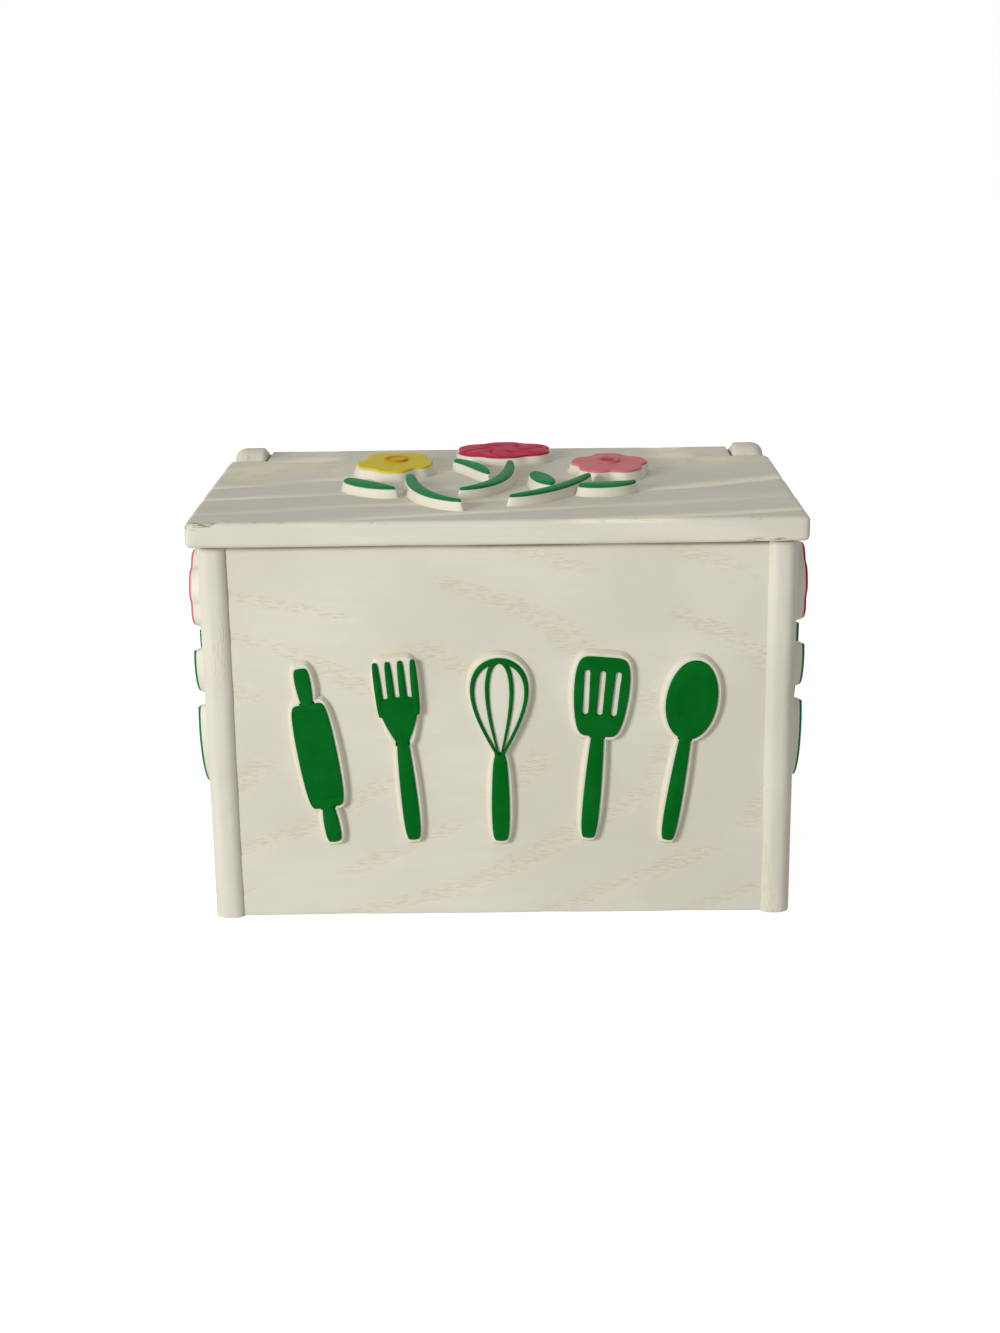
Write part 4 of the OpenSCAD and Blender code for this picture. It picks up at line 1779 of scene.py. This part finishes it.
LID_FLOWERS = [
    Flower(
        "yellow", Rosette((-28.4, 63.5), (10.6, 15.2), turn=90.0), "yellow_enamel",
        Rosette.oval((-28.4, 65.5), (3.4, 4.6)), "orange_enamel",
    ),
    Flower("red", Rosette((1.5, 81.0), (13.6, 12.1), 6, 0.1, 60.0), "red_enamel", swirl=1.3, folds=0.9),
    Flower(
        "pink", Rosette((30.5, 58.7), (10.6, 14.1)), "pink_enamel",
        Rosette.oval((30.2, 60.2), (3.3, 4.2)), "rose_enamel",
    ),
]
LID_GREENS = {
    "yellow_leaf": Stroke((-39.6, 39.6), (-35.0, 31.5), (-26.4, 26.4), 3.1, 2.6, 1.0),
    "yellow_stem": Stroke((-23.4, 44.0), (-21.5, 17.0), (-9.0, 9.2), 1.8, 1.5, 0.6),
    "red_leaf": Stroke((-11.8, 66.0), (-5.8, 60.0), (-2.6, 46.2), 1.9, 1.9, 0.8),
    "red_stem": Stroke((3.2, 63.0), (4.0, 31.0), (-9.7, 24.4), 1.5, 2.3, 0.7),
    "bud": Stroke((9.9, 46.0), (12.0, 38.0), (13.9, 29.6), 2.7, 2.7, 1.0),
    "pink_stem": Stroke((24.2, 42.4), (16.5, 21.6), (3.2, 14.4), 1.6, 2.2, 0.7),
    "pink_leaf": Stroke((21.2, 28.0), (28.5, 26.4), (36.2, 32.0), 3.0, 2.6, 1.0),
}
SIDE_SPOTS = {"first": (17.0, -14.0), "middle": (49.5, -17.5), "last": (81.5, -16.0)}
SIDE_GREENS = {
    "first_stem": Stroke((19.0, -25.7), (21.0, -55.0), (44.5, -66.5), 1.4, 1.7, 0.6),
    "middle_stem": Stroke((49.5, -29.0), (51.0, -49.0), (49.0, -67.5), 1.5, 1.5, 0.6),
    "last_stem": Stroke((79.6, -27.7), (77.5, -55.0), (53.5, -66.5), 1.4, 1.7, 0.6),
    "first_high_leaf": Stroke((8.6, -28.5), (8.6, -36.5), (16.4, -41.0), 2.8, 2.4, 1.0),
    "first_low_leaf": Stroke((10.4, -44.0), (10.0, -57.0), (19.5, -67.5), 3.2, 2.4, 1.0),
    "last_high_leaf": Stroke((90.4, -28.5), (90.4, -36.5), (82.6, -41.0), 2.8, 2.4, 1.0),
    "last_low_leaf": Stroke((88.6, -44.0), (89.0, -57.0), (79.5, -67.5), 3.2, 2.4, 1.0),
}


def side_flowers(hand: Hand) -> list[Flower]:
    """Three flowers of a side: yellow in the middle, red and pink outside, changed over by side.

    Args:
        hand: the side that they are on.

    Returns:
        The flowers, from front to back.
    """
    outer = {"first": "pink_enamel", "last": "red_enamel"}
    if hand is Hand.RIGHT:
        outer = {"first": "red_enamel", "last": "pink_enamel"}
    slots = {**outer, "middle": "yellow_enamel"}
    eyes = {"first": "rose_enamel", "middle": "orange_enamel", "last": "rose_enamel"}
    return [
        Flower(
            name, Rosette((u, v), (10.2, 9.9)), slots[name],
            Rosette.oval((u, v + 0.4), (3.2, 3.0)), eyes[name],
            *((1.3, 0.9) if slots[name] == "red_enamel" else (0.0, 0.2)),
        )
        for name, (u, v) in SIDE_SPOTS.items()
    ]


@dataclass
class Tool:
    """One kitchen tool of the front: where its middle stands, its tilt in degrees, its strokes, those
    of its base where they differ, what is carved out of its enamel, and the half widths of its wire
    loops."""

    centre: Spot
    tilt: float
    strokes: list[Stroke]
    base_strokes: list[Stroke] | None = None
    carve: Callable[[np.ndarray], np.ndarray] | None = None
    loops: tuple[float, ...] = ()

    def turned(self, skin: Surface) -> Surface:
        """The tool's skin tilted about its middle and moved to its place on the front."""
        c, s = math.cos(math.radians(self.tilt)), math.sin(math.radians(self.tilt))
        return skin.seated(Seat.on((c, s, 0), (-s, c, 0), (0, 0, 1), (*self.centre, 0)))


def bar_depth(places: np.ndarray, start: Spot, end: Spot, half: float, depth: float) -> np.ndarray:
    """Depth of a straight slot with soft walls: full within the half width of the line between two
    points, and none 0.3 mm further out.

    Args:
        places: points on the tool, one row each.
        start: start of the slot's middle line.
        end: end of that line.
        half: half width of its floor.
        depth: its full depth.

    Returns:
        One depth for each place.
    """
    a, b = np.array(start), np.array(end)
    share = np.clip((places - a) @ (b - a) / ((b - a) @ (b - a)), 0.0, 1.0)
    away = np.linalg.norm(places - (a + share[:, None] * (b - a)), axis=1)
    return depth * (1 - smoothstep(half, half + 0.3, away))


def turner_carving(places: np.ndarray) -> np.ndarray:
    """Three slots through the enamel of the turner's blade.

    Args:
        places: points on the tool, one row each.

    Returns:
        One depth for each place.
    """
    slots = [((x, 9.9), (1.1 * x, 20.1)) for x in (-3.6, 0.0, 3.6)]
    depths = [bar_depth(places, *slot, 0.62, RELIEF.enamel_t + 0.45) for slot in slots]
    return np.maximum.reduce(depths)


def spoon_carving(places: np.ndarray) -> np.ndarray:
    """Hollow of the spoon's bowl: an oval dip."""
    away = np.hypot(places[:, 0] / 4.3, (places[:, 1] - 14.0) / 7.8)
    return 0.42 * (1 - smoothstep(0.35, 1.0, away))


def pin_carving(places: np.ndarray) -> np.ndarray:
    """Grooves turned round the rolling pin near both ends of its roller."""
    ends = np.minimum(np.abs(places[:, 1] - 11.6), np.abs(places[:, 1] + 11.6))
    return 0.22 * np.exp(-((ends / 0.45) ** 2))


FORK_HANDLE = Stroke.straight((0.0, -24.0), (0.0, 6.0), 2.4, 1.6)
TOOLS = {
    "front_rolling_pin": Tool(
        (-46.5, 44.5), 9.0,
        [
            Stroke.straight((0.0, -14.0), (0.0, 14.0), 5.0, 5.0, 0.2),
            Stroke.straight((0.0, -23.5), (0.0, -13.0), 2.2, 1.7),
            Stroke.straight((0.0, 13.0), (0.0, 23.5), 1.7, 2.2),
        ],
        carve=pin_carving,
    ),
    "front_fork": Tool(
        (-24.5, 45.5), 5.0,
        [FORK_HANDLE, Stroke.straight((0.0, 2.0), (0.0, 14.5), 2.0, 6.2, 0.45)]
        + [Stroke.straight((3 * i - 4.5, 9.5), (3.2 * i - 4.8, 24.0), 1.0, 0.9) for i in range(4)],
        [FORK_HANDLE, Stroke.straight((0.0, 2.0), (0.0, 24.0), 3.0, 6.0, 0.3)],
    ),
    "front_whisk": Tool(
        (0.0, 45.5), 0.0, [Stroke.straight((0.0, -24.5), (0.0, -1.0), 2.5, 2.0)], loops=(10.2, 5.0)
    ),
    "front_turner": Tool(
        (24.5, 45.5), -5.0,
        [
            Stroke.straight((0.0, -24.0), (0.0, 8.0), 2.5, 1.7),
            Stroke.straight((0.0, 3.5), (0.0, 24.5), 6.2, 7.6, 0.3),
        ],
        carve=turner_carving,
    ),
    "front_spoon": Tool(
        (46.5, 44.5), -9.0,
        [
            Stroke.straight((0.0, -24.0), (0.0, 9.0), 2.3, 1.5),
            Stroke.straight((0.0, 3.5), (0.0, 24.5), 6.6, 6.4, 0.95),
        ],
        carve=spoon_carving,
    ),
}


@dataclass
class ToolRow(Ornament):
    """Row of kitchen tools on the front panel: a cream relief with green enamel on it."""

    base_h: float = 1.7
    margin: float = 0.9
    wire: float = 1.5
    loop_foot: Spot = (0.0, -3.5)
    loop_h: float = 28.0

    def base(self, tool: Tool) -> Surface:
        """Cream base of one tool.

        Args:
            tool: the tool.

        Returns:
            The closed surface, on the seat of the front.
        """
        parts = [s.base(self.margin, self.base_h) for s in tool.base_strokes or tool.strokes]
        if tool.loops:
            widest = max(tool.loops)
            parts.append(
                teardrop_base(self.loop_foot, widest, self.loop_h, self.margin, self.base_h)
            )
        return tool.turned(Surface.joined(parts))

    def enamel(self, tool: Tool) -> Surface:
        """Enamel of one tool: its strokes, and its wire loops if it has them.

        Args:
            tool: the tool.

        Returns:
            The closed surface, on the seat of the front.
        """
        dense = np.linspace(0.97, 0.0, 30)
        parts = [
            s.enamel(self.base_h, tool.carve, dense, 90) if tool.carve else s.enamel(self.base_h)
            for s in tool.strokes
        ]
        u, v = self.loop_foot
        for half in tool.loops:
            outer = teardrop((u, v), half, self.loop_h)
            inner = teardrop((u, v + self.wire), half - self.wire, self.loop_h - 2 * self.wire)
            parts.append(wire_loop(outer, inner, self.base_h))
        return tool.turned(Surface.joined(parts))

    def build(self) -> None:
        """Makes and dresses the relief and each tool's enamel."""
        bases = footed(Surface.joined([self.base(tool) for tool in TOOLS.values()]))
        self.put(bases, "casting", "front_relief", "cream_relief")
        for node, tool in TOOLS.items():
            self.put(self.enamel(tool), "enamelled", node, "leaf_green_enamel")


@dataclass(frozen=True)
class Studio:
    """Camera, lamp, plain floor and white background. The eye is in millimetres, the angles are in
    radians and the floor's reach is in metres."""

    eye: Point = (4.9, -531.3, 207.9)
    yaw: float = -0.0095
    pitch: float = 0.2823
    roll: float = -0.0139
    focal_px: float = 2000.0
    frame_px: float = 1333.0
    film: float = 36.0
    floor_reach: float = 3.0
    floor_grey: float = 0.8
    floor_glow: float = 0.72

    def camera(self) -> None:
        """Makes the camera: it looks along (sin yaw cos pitch, cos yaw cos pitch, -sin pitch), with
        its right and up directions turned by the roll."""
        ahead = np.array([
            math.sin(self.yaw) * math.cos(self.pitch),
            math.cos(self.yaw) * math.cos(self.pitch),
            -math.sin(self.pitch),
        ])
        flat = np.array([math.cos(self.yaw), -math.sin(self.yaw), 0.0])
        rise = np.cross(flat, ahead)
        right = math.cos(self.roll) * flat + math.sin(self.roll) * rise
        up = -math.sin(self.roll) * flat + math.cos(self.roll) * rise
        data = bpy.data.cameras.new("photograph")
        data.sensor_fit = "VERTICAL"
        data.sensor_height = self.film
        data.lens = self.focal_px / self.frame_px * self.film
        data.clip_start = 0.01
        camera = new_object("photograph", data)
        camera.matrix_world = pose(right, up, -ahead, np.array(self.eye) * MM)
        bpy.context.scene.camera = camera

    def lamp(self, name: str, place: Point, target: Point, size: float, power: float) -> None:
        """Makes a square lamp that faces a target, all in metres and watts.

        Args:
            name: name of the lamp.
            place: its place.
            target: point that it faces.
            size: length of its sides.
            power: its power.
        """
        data = bpy.data.lights.new(name, "AREA")
        data.size = size
        data.energy = power
        back = np.array(place) - np.array(target)
        back = back / np.linalg.norm(back)
        right = np.cross((0.0, 0.0, 1.0), back)
        right = right / np.linalg.norm(right)
        up = np.cross(back, right)
        new_object(name, data).matrix_world = pose(right, up, back, np.array(place))

    def backdrop(self, tree: bpy.types.NodeTree, lit: Value, seen: Value, output: str) -> None:
        """Sends one shader to the output, and another for the rays that show the background: from
        the camera, in gloss and through glass.

        Args:
            tree: node tree to add to.
            lit: shader that the box is lit by.
            seen: shader that shows.
            output: kind of the output node.
        """
        path = add_node(tree, "LightPath").outputs
        share = combined(tree, "MAXIMUM", path["Is Camera Ray"], path["Is Glossy Ray"])
        share = combined(tree, "MAXIMUM", share, path["Is Transmission Ray"])
        both = add_node(tree, "MixShader", {0: share, 1: lit, 2: seen})
        add_node(tree, output, {"Surface": both.outputs[0]})

    def world(self, ambient: float) -> None:
        """Makes the world: plain soft light, and white where it is seen.

        Args:
            ambient: strength of the soft light.
        """
        world = bpy.data.worlds.new("white_room")
        world.use_nodes = True
        tree = world.node_tree
        tree.nodes.clear()
        light, shown = (
            add_node(tree, "Background", {"Color": (1, 1, 1, 1), "Strength": strength}).outputs[0]
            for strength in (ambient, 1.0)
        )
        self.backdrop(tree, light, shown, "OutputWorld")
        bpy.context.scene.world = world

    def floor(self) -> None:
        """Makes the floor: matt white card that keeps the box's shadow and clears to white."""
        reach, low = self.floor_reach, -0.1 * MM
        signs = ((-1, -1), (1, -1), (1, 1), (-1, 1))
        mesh = bpy.data.meshes.new("floor")
        mesh.from_pydata([(x * reach, y * reach, low) for x, y in signs], [], [(0, 1, 2, 3)])
        material, tree = new_material("matt_white_card")
        grey, white = (*(self.floor_grey,) * 3, 1), (1, 1, 1, 1)
        card = add_node(tree, "BsdfDiffuse", {"Color": grey}).outputs[0]
        glow = add_node(tree, "Emission", {"Color": white, "Strength": self.floor_glow}).outputs[0]
        bright = add_node(tree, "AddShader", {0: card, 1: glow}).outputs[0]
        self.backdrop(tree, card, bright, "OutputMaterial")
        mesh.materials.append(material)
        floor = new_object("floor", mesh)

    def build(self) -> None:
        """Makes all of it, with plain colour management."""
        bpy.context.scene.view_settings.view_transform = "Standard"
        self.camera()
        self.lamp("window_left", (-0.86, -1.0, 0.4), (0.0, 0.0, 0.05), size=0.35, power=11.9)
        self.world(ambient=0.42)
        self.floor()


def main() -> None:
    """Builds the studio, the case, the lid and their ornaments."""
    logging.basicConfig(level=logging.INFO, format="%(name)s: %(message)s")
    Studio().build()
    sizes, palette = BoxSizes(), Palette()
    palette.mix()
    Case(sizes, palette).build()
    Lid(sizes, palette).build()
    lid_seat = Seat.on((1, 0, 0), (0, 1, 0), (0, 0, 1), (0, sizes.front_y, sizes.lid_z1))
    Posy("lid", lid_seat, palette, "lid", LID_FLOWERS, LID_GREENS, flower_h=2.2, green_h=2.2).build()
    for hand in Hand:
        seat = sideways(hand, (hand.value * sizes.side_out, sizes.front_y, sizes.height))
        name, flowers = hand.name.lower(), side_flowers(hand)
        Posy("case", seat, palette, name, flowers, SIDE_GREENS, flower_h=2.6, green_h=2.2).build()
    front_seat = Seat.on((1, 0, 0), (0, 0, 1), (0, -1, 0), (0, sizes.front_face_y, 0))
    ToolRow("case", front_seat, palette).build()


if __name__ == "__main__":
    main()
